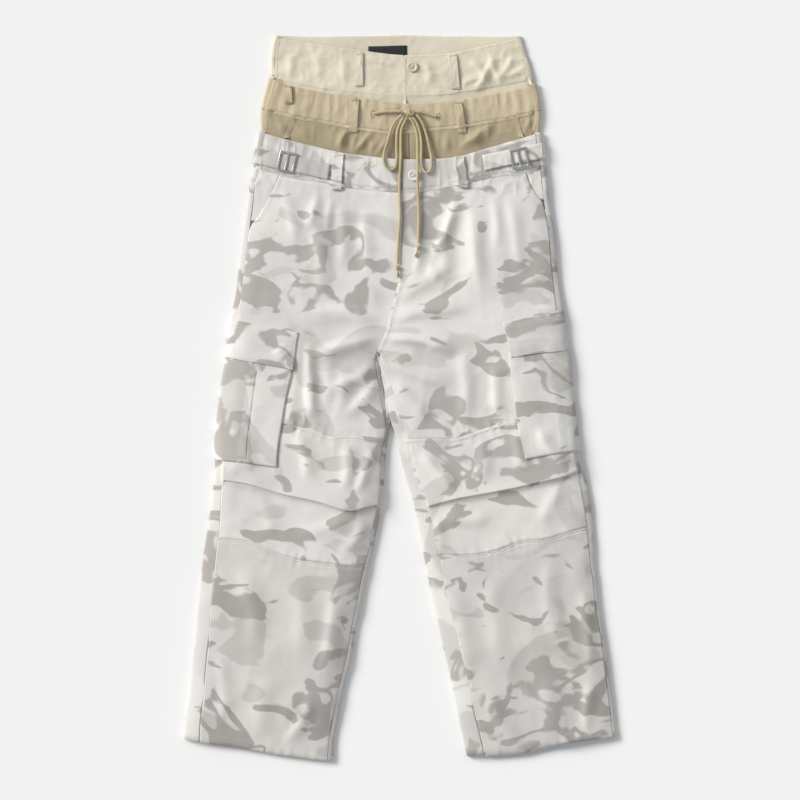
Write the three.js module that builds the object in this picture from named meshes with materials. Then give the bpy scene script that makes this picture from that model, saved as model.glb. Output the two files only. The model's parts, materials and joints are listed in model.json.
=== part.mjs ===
// Cargo pants laid flat, face up: a wide camo pair with a tan and a cream waist sewn inside it.
// Millimetres: +X to the viewer's right, +Y towards the waist, +Z up from the floor it lies on.
// Each cut piece is a wall of cloth. Backs lie on the floor and turn up round both sides to the
// seams on top; fronts lie over them; what is sewn on a panel is made from the panel's own surface.
import * as THREE from "three";

// Cloth and clearances
const CAMO_WALL = 1.8;
const INNER_WALL = 1.4;
const POCKET_WALL = 1.5;
const TRIM_WALL = 1.4;
const FACING_WALL = 1.2; // behind a hand pocket's opening
const FACING_SUNK = 0.5; // and this far below the front's face
const GAP = 0.3; // between pieces that lie on each other
const SEAM = 0.2; // each piece stops this far from a seam line
const SEAM_LEAST = 1; // a turned side lies at least this far in over the top

// Heights of the outer face of each layer's front
const LEG_EDGE = 5.8;
const LEG_CROWN = 7.4;
const CAMO_WAIST = 9.0;
const TAN_TOP = 8.2;
const TAN_TUCKED = 6.9;
const CREAM_TOP = 4.8;
const CREAM_TUCKED = 6.5;
const EDGE_FALL = 18; // the top falls towards a side over about this distance
const EDGE_IN = 3; // a side fold's height is read this far in from the outline
const BAND_PROUD = 0.6; // a waistband's turned cloth stands this much higher
const POCKET_LIFT = POCKET_WALL + GAP; // the leg is lifted by the pocket half that lies under it
const FLY_HIGH = 1.2; // the lapped edge of the fly
const FLY_WIDE = 22;
const SOFT_RUN = 12; // folds fade out this near to an edge
const FORK_CLEAR = 200; // above the fork the inner line is no edge, so it counts as far away

// Where a height changes: the y (for reach, the distance in) at which it starts and is complete
const CHANGE = {
  crown: [300, 335], // up to the waistband across the middle
  edge: [262, 345], // and at the sides
  valley: [84, 20], // down to the line where the legs lie side by side
  fork: [84, 40], // folds fade out along that line too
  pocketHead: [170, 145], // up over the pocket half on the floor
  pocketFoot: [-130, -105],
  pocketReach: [155, 115],
  folds: [330, 290],
  fly: [150, 200],
  tan: [430, 450], // where the tan waist comes out from the camo one
  tanFloor: [448, 428],
  cream: [516, 534], // where the cream waist comes out from the tan one
  creamFloor: [534, 515],
};

// Columns of points across a front, the drop of its rows, and where a row is left out for a near one
const LEG_COLUMNS = 12;
const FRONT_LEAN = { upper: 26, corner: 14, foot: 16, crotch: 8 }; // drop of a row from side to middle
const FORK_ROWS = [88, 100];
const POCKET_CLEAR = 12;
const CROTCH_CLEAR = 6;
const ROW_LEAST = 0.03; // no row lies nearer to a panel's end than this share of it
const SOLVE_PASSES = 12; // passes that settle a point between two side lines and two seams

// Outlines: each row is y, x
const LEFT_OUTLINE = [
  [426, -226], [373, -234], [349, -243], [301, -246], [277, -252], [253, -256], [189, -260],
  [157, -266], [125, -273], [64, -281], [29, -286], [-3, -291], [-67, -296], [-131, -299],
  [-195, -309], [-259, -317], [-323, -323], [-387, -331], [-451, -338], [-515, -345], [-547, -347],
];
const RIGHT_OUTLINE = [
  [424, 224], [397, 230], [373, 232], [333, 235], [277, 243], [237, 248], [189, 253], [157, 257],
  [125, 262], [93, 265], [61, 270], [-3, 275], [-35, 280], [-67, 285], [-99, 289], [-131, 297],
  [-171, 304], [-211, 307], [-275, 312], [-339, 318], [-395, 326], [-451, 333], [-515, 342],
  [-544, 347],
];
// The seam between the two backs, then the line where the legs lie side by side
const CENTRE_LINE = [
  [426, 0], [330, -2], [230, -8], [150, -20], [100, -31], [74, -37], [29, -32], [5, -27],
  [-22, -21], [-43, -15],
];
const LEFT_INNER = [
  [-67, -21], [-99, -24], [-131, -27], [-170, -30], [-195, -36], [-259, -48], [-323, -62],
  [-387, -75], [-451, -88], [-515, -102], [-581, -109],
];
const RIGHT_INNER = [
  [-67, -6], [-99, 0], [-131, 8], [-163, 17], [-195, 24], [-259, 37], [-323, 51], [-387, 64],
  [-451, 78], [-515, 93], [-574, 106],
];
// The front edge of the fly, then the front rise down to the crotch
const RISE = [
  [420, 3], [330, 3], [230, 3], [190, 0], [157, -6], [125, -16], [106, -21], [85, -30], [74, -37],
];
const CROTCH_Y = 74;

// How far in from the outline a seam lies on top: each row is y, distance
const LEFT_OUTSEAM = [
  [426, 9], [277, 9], [-67, 11], [-131, 13], [-227, 20], [-323, 21], [-451, 24], [-581, 27],
];
const RIGHT_OUTSEAM = [[426, 9], [-131, 10], [-211, 10], [-259, 7], [-323, 5], [-581, 5]];
const LEFT_INSEAM = [[92, 6.5], [-43, 6], [-131, 6], [-323, 7], [-581, 8]];
const RIGHT_INSEAM = [
  [92, 6.5], [66, 7.5], [29, 12], [-22, 17], [-131, 18], [-171, 22], [-323, 24], [-451, 27],
  [-581, 29],
];

// Seams across a front: each row is x, y
const LEFT_SEAMS = {
  waist: [[-226, 426], [-194, 416], [-162, 408], [-98, 394], [-66, 388], [-26, 383], [3, 381]],
  band: [[-242, 370], [-205, 362], [-162, 352], [-114, 346], [-90, 340], [-50, 334], [3, 330]],
  knee: [[-293, -32], [-232, -38], [-162, -46], [-114, -62], [-90, -61], [-26, -67]],
  tuck: [[-299, -129], [-242, -138], [-194, -152], [-130, -166], [-78, -181], [-58, -174], [-30, -170]],
  shin: [[-314, -224], [-242, -232], [-189, -253], [-130, -264], [-46, -269]],
  hem: [[-346, -547], [-258, -560], [-194, -571], [-109, -581]],
};
const RIGHT_SEAMS = {
  waist: [[224, 424], [190, 415], [158, 405], [126, 396], [94, 387], [62, 382], [3, 381]],
  band: [[234, 368], [142, 354], [86, 342], [46, 333], [3, 330]],
  knee: [[274, -16], [222, -26], [158, -43], [94, -64], [62, -67], [-2, -69]],
  tuck: [[294, -112], [254, -128], [222, -133], [158, -147], [94, -158], [40, -173], [19, -175]],
  shin: [[306, -206], [270, -216], [230, -227], [190, -230], [158, -243], [94, -253], [32, -246]],
  hem: [[347, -544], [278, -550], [238, -560], [174, -571], [106, -574]],
};

// Slanted hand-pocket openings: each row is y, x, from the waistband down to the side seam, where
// the last row's x is set to the seam's
const LEFT_SLANT = [[372, -186], [346, -198], [282, -230], [277, -244]];
const RIGHT_SLANT = [[372, 197], [341, 206], [317, 221], [311, 230]];

// Sections of a back above the knee: y at the outer side, y at the inner side, how far the inner
// edge turns up (0 flat at the seat seam, 1 to the inseam on top), 1 where a pocket lies under it
const SEAT_SECTIONS = [
  [369, 369, 0, 0], [340, 340, 0, 0], [300, 300, 0, 0], [250, 249, 0, 0], [200, 198, 0, 0],
  [164, 160, 0, 0], [145, 140, 0, 1], [120, 113, 0, 1], [103, 94, 0, 1], [92, 83, 0.1, 1],
  [83, 73, 0.45, 1], [75, 64, 1, 1], [56, 40, 1, 1], [28, 8, 1, 1], [4, -22, 1, 1],
  [-6, -44, 1, 1],
];
const SHIN_SECTIONS = [0.15, 0.32, 0.5, 0.68, 0.86]; // shares of the way from the shin seam to the hem
const HEM_SHORT = 2; // a back ends this far above the front's hem
const BACK_SPANS = 3; // columns of points across the rest of a leg's floor side
const CAMO_BAND_SECTIONS = [[426, 424, 1, 0], [369.4, 369.4, 1, 0]];
const CAMO_BAND_SEAM_IN = 9;
const BAND_SPANS = 8;
const TUCK_RUN = 20; // the knee tuck starts this far above its lip
const TUCK_PITCH = CAMO_WALL + GAP; // from one layer of the tuck to the next
const TUCK_DEEP = 12;
const TUCK_RISE = [0.8, 1.9]; // in pitches, halfway down to the tuck's run and at it
const POCKET_REACH = [50, 106, 126]; // distances in from the side fold on the floor

// Soft folds of the camo fronts: from x, y to x, y, half width, height
const FOLDS = [
  [-50, 96, -130, 66, 16, 1.6], [-20, 150, -140, 190, 16, 1.2], [20, 96, 120, 70, 18, 1.6],
  [40, 20, 140, -20, 14, 1.4], [-150, 250, -120, 120, 18, 1.0], [120, 300, 150, 120, 20, 1.2],
  [-180, -300, -230, -520, 22, 1.6], [-110, -300, -150, -500, 18, 1.2],
  [200, -260, 250, -520, 22, 1.6], [110, -300, 170, -540, 18, 1.2], [-80, -90, -40, -150, 14, 1.4],
  [40, -100, 70, -160, 14, 1.4], [-230, -250, -150, -330, 16, 1.0], [260, -240, 180, -330, 16, 1.0],
];

// Tan waist: sides as y, x; seams as x, y; sections as for a back
const TAN_LEFT = [[512, -213], [477, -221], [453, -225], [436, -224], [424, -223], [335, -223]];
const TAN_RIGHT = [
  [512, 215], [501, 216], [477, 221], [458, 224], [440, 222.5], [426, 221], [335, 221],
];
const TAN_SEAM_IN = 9;
const TAN_FLY = 14;
const TAN_SEAMS = {
  waist: [
    [-213, 512], [-173, 498], [-98, 485], [-34, 475], [18, 470], [94, 478], [158, 490], [218, 502],
  ],
  band: [
    [-216, 461], [-166, 448], [-120, 442], [-64, 430], [-2, 424], [91, 434], [158, 445], [222, 458],
  ],
  tucked: [[-223, 350], [0, 338], [221, 348]],
};
const TAN_BAND_SECTIONS = [[512, 502, 1, 0], [487, 480, 1, 0], [461.4, 458.4, 1, 0]];
const TAN_SECTIONS = [
  [461, 458, 1, 0], [448, 447, 1, 0], [438, 437, 1, 0], [428, 428, 1, 0], [390, 390, 1, 0],
  [350, 348, 1, 0],
];
const TAN_ROWS = [0, 0.12, 0.24, 0.5, 0.75, 1]; // rows down a front, close together at its seam

// Gathers: how many there are across a front band and how high they stand
const TAN_GATHERS = 24;
const TAN_GATHER_HIGH = 1.6;
const CAMO_GATHERS = 9;
const CAMO_GATHER_HIGH = 0.8;
const CAMO_GATHER_FADE = [0.85, 0.6]; // the flat end of each half, towards the fly

// Cream waist, in the same columns
const CREAM_LEFT = [[579, -200], [560, -206], [541, -208.5], [517, -209.5], [456, -209.5]];
const CREAM_RIGHT = [[579, 192], [557, 197], [538, 203], [517, 208.5], [501, 212], [456, 212]];
const CREAM_SEAM_IN = 6;
const CREAM_FLY = 5;
const CREAM_SEAMS = {
  waist: [[-198, 576], [-90, 560], [-48, 554], [10, 547], [90, 554], [158, 570], [192, 577]],
  band: [[-210, 512], [-90, 493], [10, 484], [87, 490], [212, 512]],
  tucked: [[-210, 457], [212, 457]],
};
const CREAM_BAND_SECTIONS = [
  [579, 579, 1, 0], [557, 557, 1, 0], [534, 534, 1, 0], [514.4, 514.4, 1, 0],
];
const CREAM_SECTIONS = [[514, 514, 1, 0], [485, 485, 1, 0], [457, 457, 1, 0]];

// Belt loops: layer, the x of its middle at the top, at the foot, y at the top, y at the foot, width
const LOOPS = [
  ["camo_loop_left", "camo", -99, -103, 391, 333, 17],
  ["camo_loop_right", "camo", 93, 101, 387, 336, 15],
  ["tan_loop_side", "tan", -183, -180, 499, 470, 14],
  ["tan_loop_left", "tan", -75, -76, 478, 424, 15],
  ["tan_loop_right", "tan", 89, 99, 474, 424, 14],
  ["cream_loop_left", "cream", -67, -68, 552, 498, 13],
  ["cream_loop_right", "cream", 81, 87, 550, 494, 15],
];
const LOOP_ARCH = 1.4;
const LOOP_CLEAR = 0.15; // more room under a loop, for the bend of what it lies on

// Cargo pockets: each row is y at the side fold, rise over 100 mm of the top, reach in over the top
const CARGO = {
  left: {
    flapTop: [125, -16, 112], flapFoot: [64, -13, 110],
    bodyTop: [63.4, -13, 109], bodyFoot: [-99, 4, 101],
  },
  right: {
    flapTop: [138, -16, 98], flapFoot: [76, -8, 95],
    bodyTop: [75.4, -8, 99], bodyFoot: [-84, 8, 90],
  },
};
const ROW_CLEAR = 3; // no row lies nearer to the top or the foot than this
const POCKET_FLOOR = 98; // how far a pocket reaches in under the leg
const POCKET_COLUMNS = [4, 14, 32]; // columns of points over the top, before the pleat
const PLEAT_AT = [50, 54]; // the pleat of a pocket, over the top from the fold
const PLEAT_STEP = 0.8;
const FLAP_LAP = 18; // the flap stands over the pocket below this height above the pocket's mouth
const LAP_CLEAR = 0.3;
const MOUTH_SHIFT = 10; // the pocket's mouth reaches up this far under its flap

// Adjuster straps: their two long edges as rows of the same kind, then the buckle's place and turn
const STRAPS = {
  left: { rows: [[398, -21, 121], [373, -21, 121]], at: [-181, 377], turn: -0.2 },
  right: { rows: [[407, -20, 100], [382, -20, 100]], at: [190, 383], turn: 0.2 },
};
const STRAP_CLEAR = 1; // from the side fold
const STRAP_COLUMNS = { first: 3.8, shares: [0.3, 0.5, 0.75, 1] };
const BUCKLE = { long: 28, high: 33, wire: 3.4, thick: 2.2 };
const BUCKLE_CLEAR = 0.4; // above the strap that it rides on

// Buttons: centre x, y, radius
const FLY_BUTTON = [21, 355, 9];
const CREAM_BUTTON = [18, 528, 8.5];
const BUTTON_HIGH = 3;
const BUTTON_STEPS = 20;
const FLY_BUTTON_LIFT = 1.35; // above the band, for the lapped edge of the fly
// The section of a button: share of the radius, share of the height
const BUTTON_PROFILE = [[0, 0], [0.8, 0], [1, 0.5], [0.93, 1], [0.7, 0.72], [0, 0.66]];

// Label: left, right, top, foot
const LABEL = [-53, 9, 563, 534];
const LABEL_WALL = 0.8;

// Drawstring: each route runs from its exit to its far end, x, y, z
const CORD = 4.4;
const CORD_ROUTES = {
  cord_lead_left: [[-43, 454, 11.9], [-30, 456.5, 12.1], [-12, 457.5, 13.2], [1, 457.5, 14.6]],
  cord_lead_right: [[57, 449, 11.5], [46, 451.5, 12.1], [34, 455.5, 13.4], [24.6, 457.5, 14.6]],
  cord_bow_left: [
    [1.2, 451.5, 14.4], [-6, 445, 13.6], [-13, 434, 12.8], [-20, 412, 11.6], [-26, 394, 12.2],
    [-27.5, 381, 12.9], [-24, 369, 12.9], [-16, 363.5, 12.9], [-9, 368, 12.9], [-6.5, 382, 12.9],
    [-6.6, 404, 11.8], [-4.6, 428, 12.2], [0.5, 441, 13.2], [4.6, 447.2, 14],
  ],
  cord_bow_right: [
    [19.6, 447.4, 14], [26, 438, 13.2], [31.5, 422, 12], [33.5, 400, 12], [32.6, 380, 13.1],
    [34.5, 366, 13.6], [41, 359, 13.6], [47.5, 364, 13.6], [49, 381, 13.1], [45.5, 404, 12],
    [40.5, 424, 12.2], [34, 440, 13.2], [24.8, 451.5, 14.4],
  ],
  cord_end_left: [
    [9.6, 447, 14], [6.6, 441, 13.2], [2, 430, 12.2], [0.4, 410, 11.8], [0, 384, 12.7],
    [-1.4, 350, 12.7], [-2.4, 322, 12.4], [-3.2, 285, 11.8], [-4.8, 245, 11.4], [-6, 213.6, 11.4],
  ],
  cord_end_right: [
    [14.8, 447, 14], [19.4, 440, 13.4], [25, 428, 12.2], [27, 410, 11.9], [27, 386, 13],
    [27.2, 366, 16.2], [27.2, 344, 16.2], [27.2, 324, 13.2], [27.2, 285, 12.6], [27.2, 246.6, 12.4],
  ],
};
const CORD_STEPS = {
  cord_lead_left: 6, cord_lead_right: 6, cord_bow_left: 24, cord_bow_right: 24,
  cord_end_left: 15, cord_end_right: 16,
};
const CORD_SIDES = 8;
const KNOT = { at: [12.8, 455.5, 15.4], half: [10.6, 6.4, 5] };
// The knots at the free ends with their tails: radius, distance along from the knot's middle
const TIP_PROFILE = [
  [0, -4.6], [2.2, -4.4], [4.18, -2], [4.18, 2], [2.2, 4.6], [2.2, 17], [1.76, 18], [0, 18],
];
const TIP_STEPS = 10;
// Each knot's middle x, y, z, and its turn in degrees
const TIPS = {
  cord_tip_left: [-6.4, 207.5, 12.1, 10],
  cord_tip_right: [27.5, 240.5, 12.4, -12],
};

const COLOURS = {
  camo: "#dedbd6", tan: "#bfae8a", cream: "#e2dac4", cord: "#c9b98f", metal: "#b9b9b8",
  button: "#dcdad2", creamButton: "#d6ceb4", label: "#16171c",
};

const pants = new THREE.Group();

function material(colour, roughness = 0.9, metalness = 0) {
  return new THREE.MeshStandardMaterial({ color: COLOURS[colour], roughness, metalness });
}

function add(name, geometry, colour, roughness, metalness) {
  const mesh = new THREE.Mesh(geometry, material(colour, roughness, metalness));
  mesh.name = name;
  pants.add(mesh);
  return mesh;
}

const mix = (a, b, t) => a + (b - a) * t;

// 0 at a, 1 at b, with soft ends; a may be the larger
function ease(value, a, b) {
  const t = Math.min(1, Math.max(0, (value - a) / (b - a)));
  return t * t * (3 - 2 * t);
}

// A smooth line through the rows of a table, read at any value of its first column
function through(rows) {
  const sorted = [...rows].sort((p, q) => p[0] - q[0]);
  const last = sorted.length - 1;
  const slope = sorted.map((row, i) => {
    const before = sorted[Math.max(0, i - 1)];
    const after = sorted[Math.min(last, i + 1)];
    return (after[1] - before[1]) / (after[0] - before[0]);
  });
  return (at) => {
    if (at <= sorted[0][0]) return sorted[0][1];
    if (at >= sorted[last][0]) return sorted[last][1];
    const i = sorted.findIndex((row) => row[0] > at) - 1;
    const [x0, y0] = sorted[i];
    const [x1, y1] = sorted[i + 1];
    const h = x1 - x0;
    const t = (at - x0) / h;
    const curve = (1 + 2 * t) * (1 - t) ** 2 * y0 + t * t * (3 - 2 * t) * y1;
    return curve + h * t * (1 - t) * ((1 - t) * slope[i] - t * slope[i + 1]);
  };
}

// A smooth line for each table of a group
function lines(tables) {
  return Object.fromEntries(Object.entries(tables).map(([name, rows]) => [name, through(rows)]));
}

// Straight runs between the rows of a table, and on past its ends
function straight(rows) {
  const sorted = [...rows].sort((p, q) => p[0] - q[0]);
  return (at) => {
    const above = sorted.findIndex((row) => row[0] >= at);
    const i = above < 0 ? sorted.length - 1 : Math.max(1, above);
    const [x0, y0] = sorted[i - 1];
    const [x1, y1] = sorted[i];
    return mix(y0, y1, (at - x0) / (x1 - x0));
  };
}

const SIDES = {
  left: {
    out: through(LEFT_OUTLINE), inner: through([...CENTRE_LINE, ...LEFT_INNER]), dir: 1,
    outseam: through(LEFT_OUTSEAM), inseam: through(LEFT_INSEAM), slant: LEFT_SLANT,
    tables: LEFT_SEAMS,
  },
  right: {
    out: through(RIGHT_OUTLINE), inner: through([...CENTRE_LINE, ...RIGHT_INNER]), dir: -1,
    outseam: through(RIGHT_OUTSEAM), inseam: through(RIGHT_INSEAM), slant: RIGHT_SLANT,
    tables: RIGHT_SEAMS,
  },
};
for (const side of Object.values(SIDES)) {
  side.seams = lines(side.tables);
  side.sections = backSections(side.tables);
  side.edges = backEdges(side);
  const end = side.slant[side.slant.length - 1];
  end[1] = side.edges.outer(end[0]);
}
const rise = through(RISE);

// The seat's sections, then one at each seam and tuck of the leg and some between
function backSections({ knee, tuck, shin, hem }) {
  const ends = (rows) => {
    const outermost = rows.reduce((p, q) => (Math.abs(q[0]) > Math.abs(p[0]) ? q : p));
    const innermost = rows.reduce((p, q) => (Math.abs(q[0]) < Math.abs(p[0]) ? q : p));
    return [outermost[1], innermost[1]];
  };
  const between = (p, q, t) => [mix(p[0], q[0], t), mix(p[1], q[1], t)];
  const [kneeAt, lipAt, shinAt, hemAt] = [knee, tuck, shin, hem].map(ends);
  const runAt = [lipAt[0] + TUCK_RUN, lipAt[1] + TUCK_RUN];
  return [
    ...SEAT_SECTIONS,
    [...kneeAt, 1, 1], [...between(kneeAt, runAt, 0.5), 1, 1], [...runAt, 1, 1], [...lipAt, 1, 0],
    [...between(lipAt, shinAt, 0.5), 1, 0], [...shinAt, 1, 0],
    ...SHIN_SECTIONS.map((t) => [...between(shinAt, hemAt, t), 1, 0]),
    [hemAt[0] + HEM_SHORT, hemAt[1] + HEM_SHORT, 1, 0],
  ];
}

// The seam lines where a back ends on top, straight from one section to the next
function backEdges({ out, inner, outseam, inseam, dir, sections }) {
  const point = (x, [ya, yb]) => [ya + ((yb - ya) * (x - out(ya))) / (inner(yb) - out(ya)), x];
  const outer = sections.map((row) => point(out(row[0]) + dir * outseam(row[0]), row));
  const turned = sections.filter((row) => row[2] === 1);
  const inside = turned.map((row) => point(inner(row[1]) - dir * inseam(row[1]), row));
  const levels = sections.map((row, i) => {
    const x = inner(row[1]) - dir * inseam(row[1]);
    return [outer[i][0], point(x, row)[0]];
  });
  return { outer: straight(outer), inside: straight(inside), levels, fork: inside[0][0] };
}

function foldHeight(x, y) {
  let height = 0;
  for (const [x0, y0, x1, y1, half, high] of FOLDS) {
    const length = Math.hypot(x1 - x0, y1 - y0);
    const along = ((x - x0) * (x1 - x0) + (y - y0) * (y1 - y0)) / (length * length);
    const off = ((x - x0) * (y1 - y0) - (y - y0) * (x1 - x0)) / length;
    const ends = ease(along, -0.15, 0.25) * ease(along, 1.15, 0.75);
    height += high * ends * Math.exp(-((off / half) ** 2));
  }
  return height;
}

// The outer face of the camo layer's top, on one side of the garment
function camoTop(side, x, y) {
  const { out, inner } = SIDES[side];
  const fromOut = Math.max(0, Math.abs(x - out(y)));
  const fromIn = Math.max(0, Math.abs(x - inner(y)));
  const crown = mix(LEG_CROWN, CAMO_WAIST, ease(y, ...CHANGE.crown));
  const edge = mix(LEG_EDGE, CAMO_WAIST, ease(y, ...CHANGE.edge));
  const outer = (crown - edge) * Math.exp(-fromOut / EDGE_FALL);
  const valley = (crown - LEG_EDGE) * ease(y, ...CHANGE.valley) * Math.exp(-fromIn / EDGE_FALL);
  const level = ease(y, ...CHANGE.pocketHead) * ease(y, ...CHANGE.pocketFoot);
  const lifted = level * ease(fromOut, ...CHANGE.pocketReach);
  const fromFork = fromIn + FORK_CLEAR * (1 - ease(y, ...CHANGE.fork));
  const soft = 1 - Math.exp(-Math.min(fromOut, fromFork) / SOFT_RUN);
  const folds = foldHeight(x, y) * soft * ease(y, ...CHANGE.folds);
  return crown - outer - valley + POCKET_LIFT * lifted + folds;
}

// The raised edge of the fly on the side that laps over
function flyStep(side, x, y) {
  if (side === "left") return 0;
  return FLY_HIGH * Math.exp(-(((x - rise(y)) / FLY_WIDE) ** 2)) * ease(y, ...CHANGE.fly);
}

const tanLeft = through(TAN_LEFT);
const tanRight = through(TAN_RIGHT);
const creamLeft = through(CREAM_LEFT);
const creamRight = through(CREAM_RIGHT);
const tanTop = (x, y) => mix(TAN_TUCKED, TAN_TOP, ease(y, ...CHANGE.tan));
const tanFloor = (y) => (CAMO_WALL + GAP) * ease(y, ...CHANGE.tanFloor);
const creamTop = (x, y) => mix(CREAM_TUCKED, CREAM_TOP, ease(y, ...CHANGE.cream));
const creamFloor = (y) => (INNER_WALL + GAP) * ease(y, ...CHANGE.creamFloor);

// A closed wall between two matching grids of points
function wall(outer, inner) {
  const rows = outer.length;
  const cols = outer[0].length;
  const points = [...outer.flat(), ...inner.flat()];
  const at = (layer, r, c) => layer * rows * cols + r * cols + c;
  const faces = [];
  const quad = (a, b, c, d) => faces.push([a, b, c], [a, c, d]);
  for (let r = 0; r < rows - 1; r += 1) {
    for (let c = 0; c < cols - 1; c += 1) {
      quad(at(0, r, c), at(0, r + 1, c), at(0, r + 1, c + 1), at(0, r, c + 1));
      quad(at(1, r, c), at(1, r, c + 1), at(1, r + 1, c + 1), at(1, r + 1, c));
    }
  }
  for (let c = 0; c < cols - 1; c += 1) {
    quad(at(0, 0, c), at(0, 0, c + 1), at(1, 0, c + 1), at(1, 0, c));
    quad(at(0, rows - 1, c + 1), at(0, rows - 1, c), at(1, rows - 1, c), at(1, rows - 1, c + 1));
  }
  for (let r = 0; r < rows - 1; r += 1) {
    quad(at(0, r + 1, 0), at(0, r, 0), at(1, r, 0), at(1, r + 1, 0));
    quad(at(0, r, cols - 1), at(0, r + 1, cols - 1), at(1, r + 1, cols - 1), at(1, r, cols - 1));
  }
  return solid(points, faces);
}

// A flat plate of the filled cells of a grid
function plate(xs, ys, thick, filled) {
  const points = [];
  const faces = [];
  const at = (i, j, k) => (k * ys.length + j) * xs.length + i;
  for (const z of [0, thick]) for (const y of ys) for (const x of xs) points.push([x, y, z]);
  const quad = (a, b, c, d) => faces.push([a, b, c], [a, c, d]);
  for (let i = 0; i < xs.length - 1; i += 1) {
    for (let j = 0; j < ys.length - 1; j += 1) {
      if (!filled(i, j)) continue;
      quad(at(i, j, 1), at(i + 1, j, 1), at(i + 1, j + 1, 1), at(i, j + 1, 1));
      quad(at(i, j, 0), at(i, j + 1, 0), at(i + 1, j + 1, 0), at(i + 1, j, 0));
      if (!filled(i, j - 1)) quad(at(i, j, 0), at(i + 1, j, 0), at(i + 1, j, 1), at(i, j, 1));
      if (!filled(i, j + 1)) {
        quad(at(i + 1, j + 1, 0), at(i, j + 1, 0), at(i, j + 1, 1), at(i + 1, j + 1, 1));
      }
      if (!filled(i - 1, j)) quad(at(i, j + 1, 0), at(i, j, 0), at(i, j, 1), at(i, j + 1, 1));
      if (!filled(i + 1, j)) {
        quad(at(i + 1, j, 0), at(i + 1, j + 1, 0), at(i + 1, j + 1, 1), at(i + 1, j, 1));
      }
    }
  }
  const used = [...new Set(faces.flat())];
  const index = new Map(used.map((old, now) => [old, now]));
  return solid(used.map((old) => points[old]), faces.map((face) => face.map((old) => index.get(old))));
}

// A geometry whose faces point outwards, whichever way its points were listed
function solid(points, faces) {
  const volume = faces.reduce((sum, [a, b, c]) => {
    const [p, q, s] = [points[a], points[b], points[c]].map((v) => new THREE.Vector3(...v));
    return sum + p.dot(q.cross(s));
  }, 0);
  const turned = volume > 0 ? faces : faces.map(([a, b, c]) => [a, c, b]);
  const geometry = new THREE.BufferGeometry();
  geometry.setAttribute("position", new THREE.Float32BufferAttribute(points.flat(), 3));
  geometry.setIndex(turned.flat());
  geometry.computeVertexNormals();
  return geometry;
}

const evenly = (count) => Array.from({ length: count + 1 }, (_, i) => i / count);

// The point of a panel at u across and v down, between two side lines x(y) and two seams y(x)
function pointOf({ from, to, top, foot, inset = SEAM }, u, v) {
  let y = mix(top(0), foot(0), v);
  let x = 0;
  for (let pass = 0; pass < SOLVE_PASSES; pass += 1) {
    const width = Math.abs(to(y) - from(y));
    x = mix(from(y), to(y), mix(inset / width, 1 - inset / width, u));
    y = mix(top(x) - SEAM, foot(x) + SEAM, v);
  }
  return [x, y];
}

// Rows down a panel: each is its share of the way down at the outer side and at the inner side.
// A level is a y at the outer side and a y at the inner side.
function rowsAt(shape, levels) {
  const { from, to, top, foot, inset = SEAM } = shape;
  const share = (u, y) => {
    const width = Math.abs(to(y) - from(y));
    const x = mix(from(y), to(y), u ? 1 - inset / width : inset / width);
    const [head, end] = [top(x) - SEAM, foot(x) + SEAM];
    return (head - y) / (head - end);
  };
  const rows = levels.map(([a, b]) => [share(0, a), share(1, b)]);
  const within = (share) => share > ROW_LEAST && share < 1 - ROW_LEAST;
  const kept = rows.filter(([a, b]) => within(a) && within(b));
  return [[0, 0], ...kept.sort((p, q) => p[0] + p[1] - q[0] - q[1]), [1, 1]];
}

// A panel's wall, lying at height(x, y)
function panel({ shape, height, thick, across, rows, lift = () => 0 }) {
  const outer = rows.map(([a, b]) => across.map((u) => {
    const v = mix(a, b, u);
    const [x, y] = pointOf(shape, u, v);
    return [x, y, height(x, y) + lift(u, v, x, y)];
  }));
  return wall(outer, outer.map((row) => row.map(([x, y, z]) => [x, y, z - thick])));
}

// The turned side of a piece: reach runs from the floor (below 0), round the fold, in over the top
function turnedEdge({ x, dir, floor, top, radius, share = 1 }) {
  const half = (top(x + dir * radius) - floor) / 2;
  const arc = (Math.PI * (radius + half)) / 2;
  return {
    arc,
    place(reach, end, sunk) {
      const swing = Math.min(1, Math.max(0, end / arc));
      const bulge = share < 1 && swing < 0.5 ? Math.sin(Math.PI * swing) : 1;
      const centre = x + dir * radius * bulge;
      if (reach <= 0) return [centre - dir * reach, floor + sunk];
      if (reach >= arc) {
        const over = centre + dir * (reach - arc);
        return [over, top(over) - sunk];
      }
      const angle = (Math.PI * reach) / arc;
      return [
        centre - dir * (radius - sunk) * Math.sin(angle),
        floor + half - (half - sunk) * Math.cos(angle),
      ];
    },
  };
}

const ARC_STEPS = [1, 0.75, 0.5, 0.25, 0];

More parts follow.
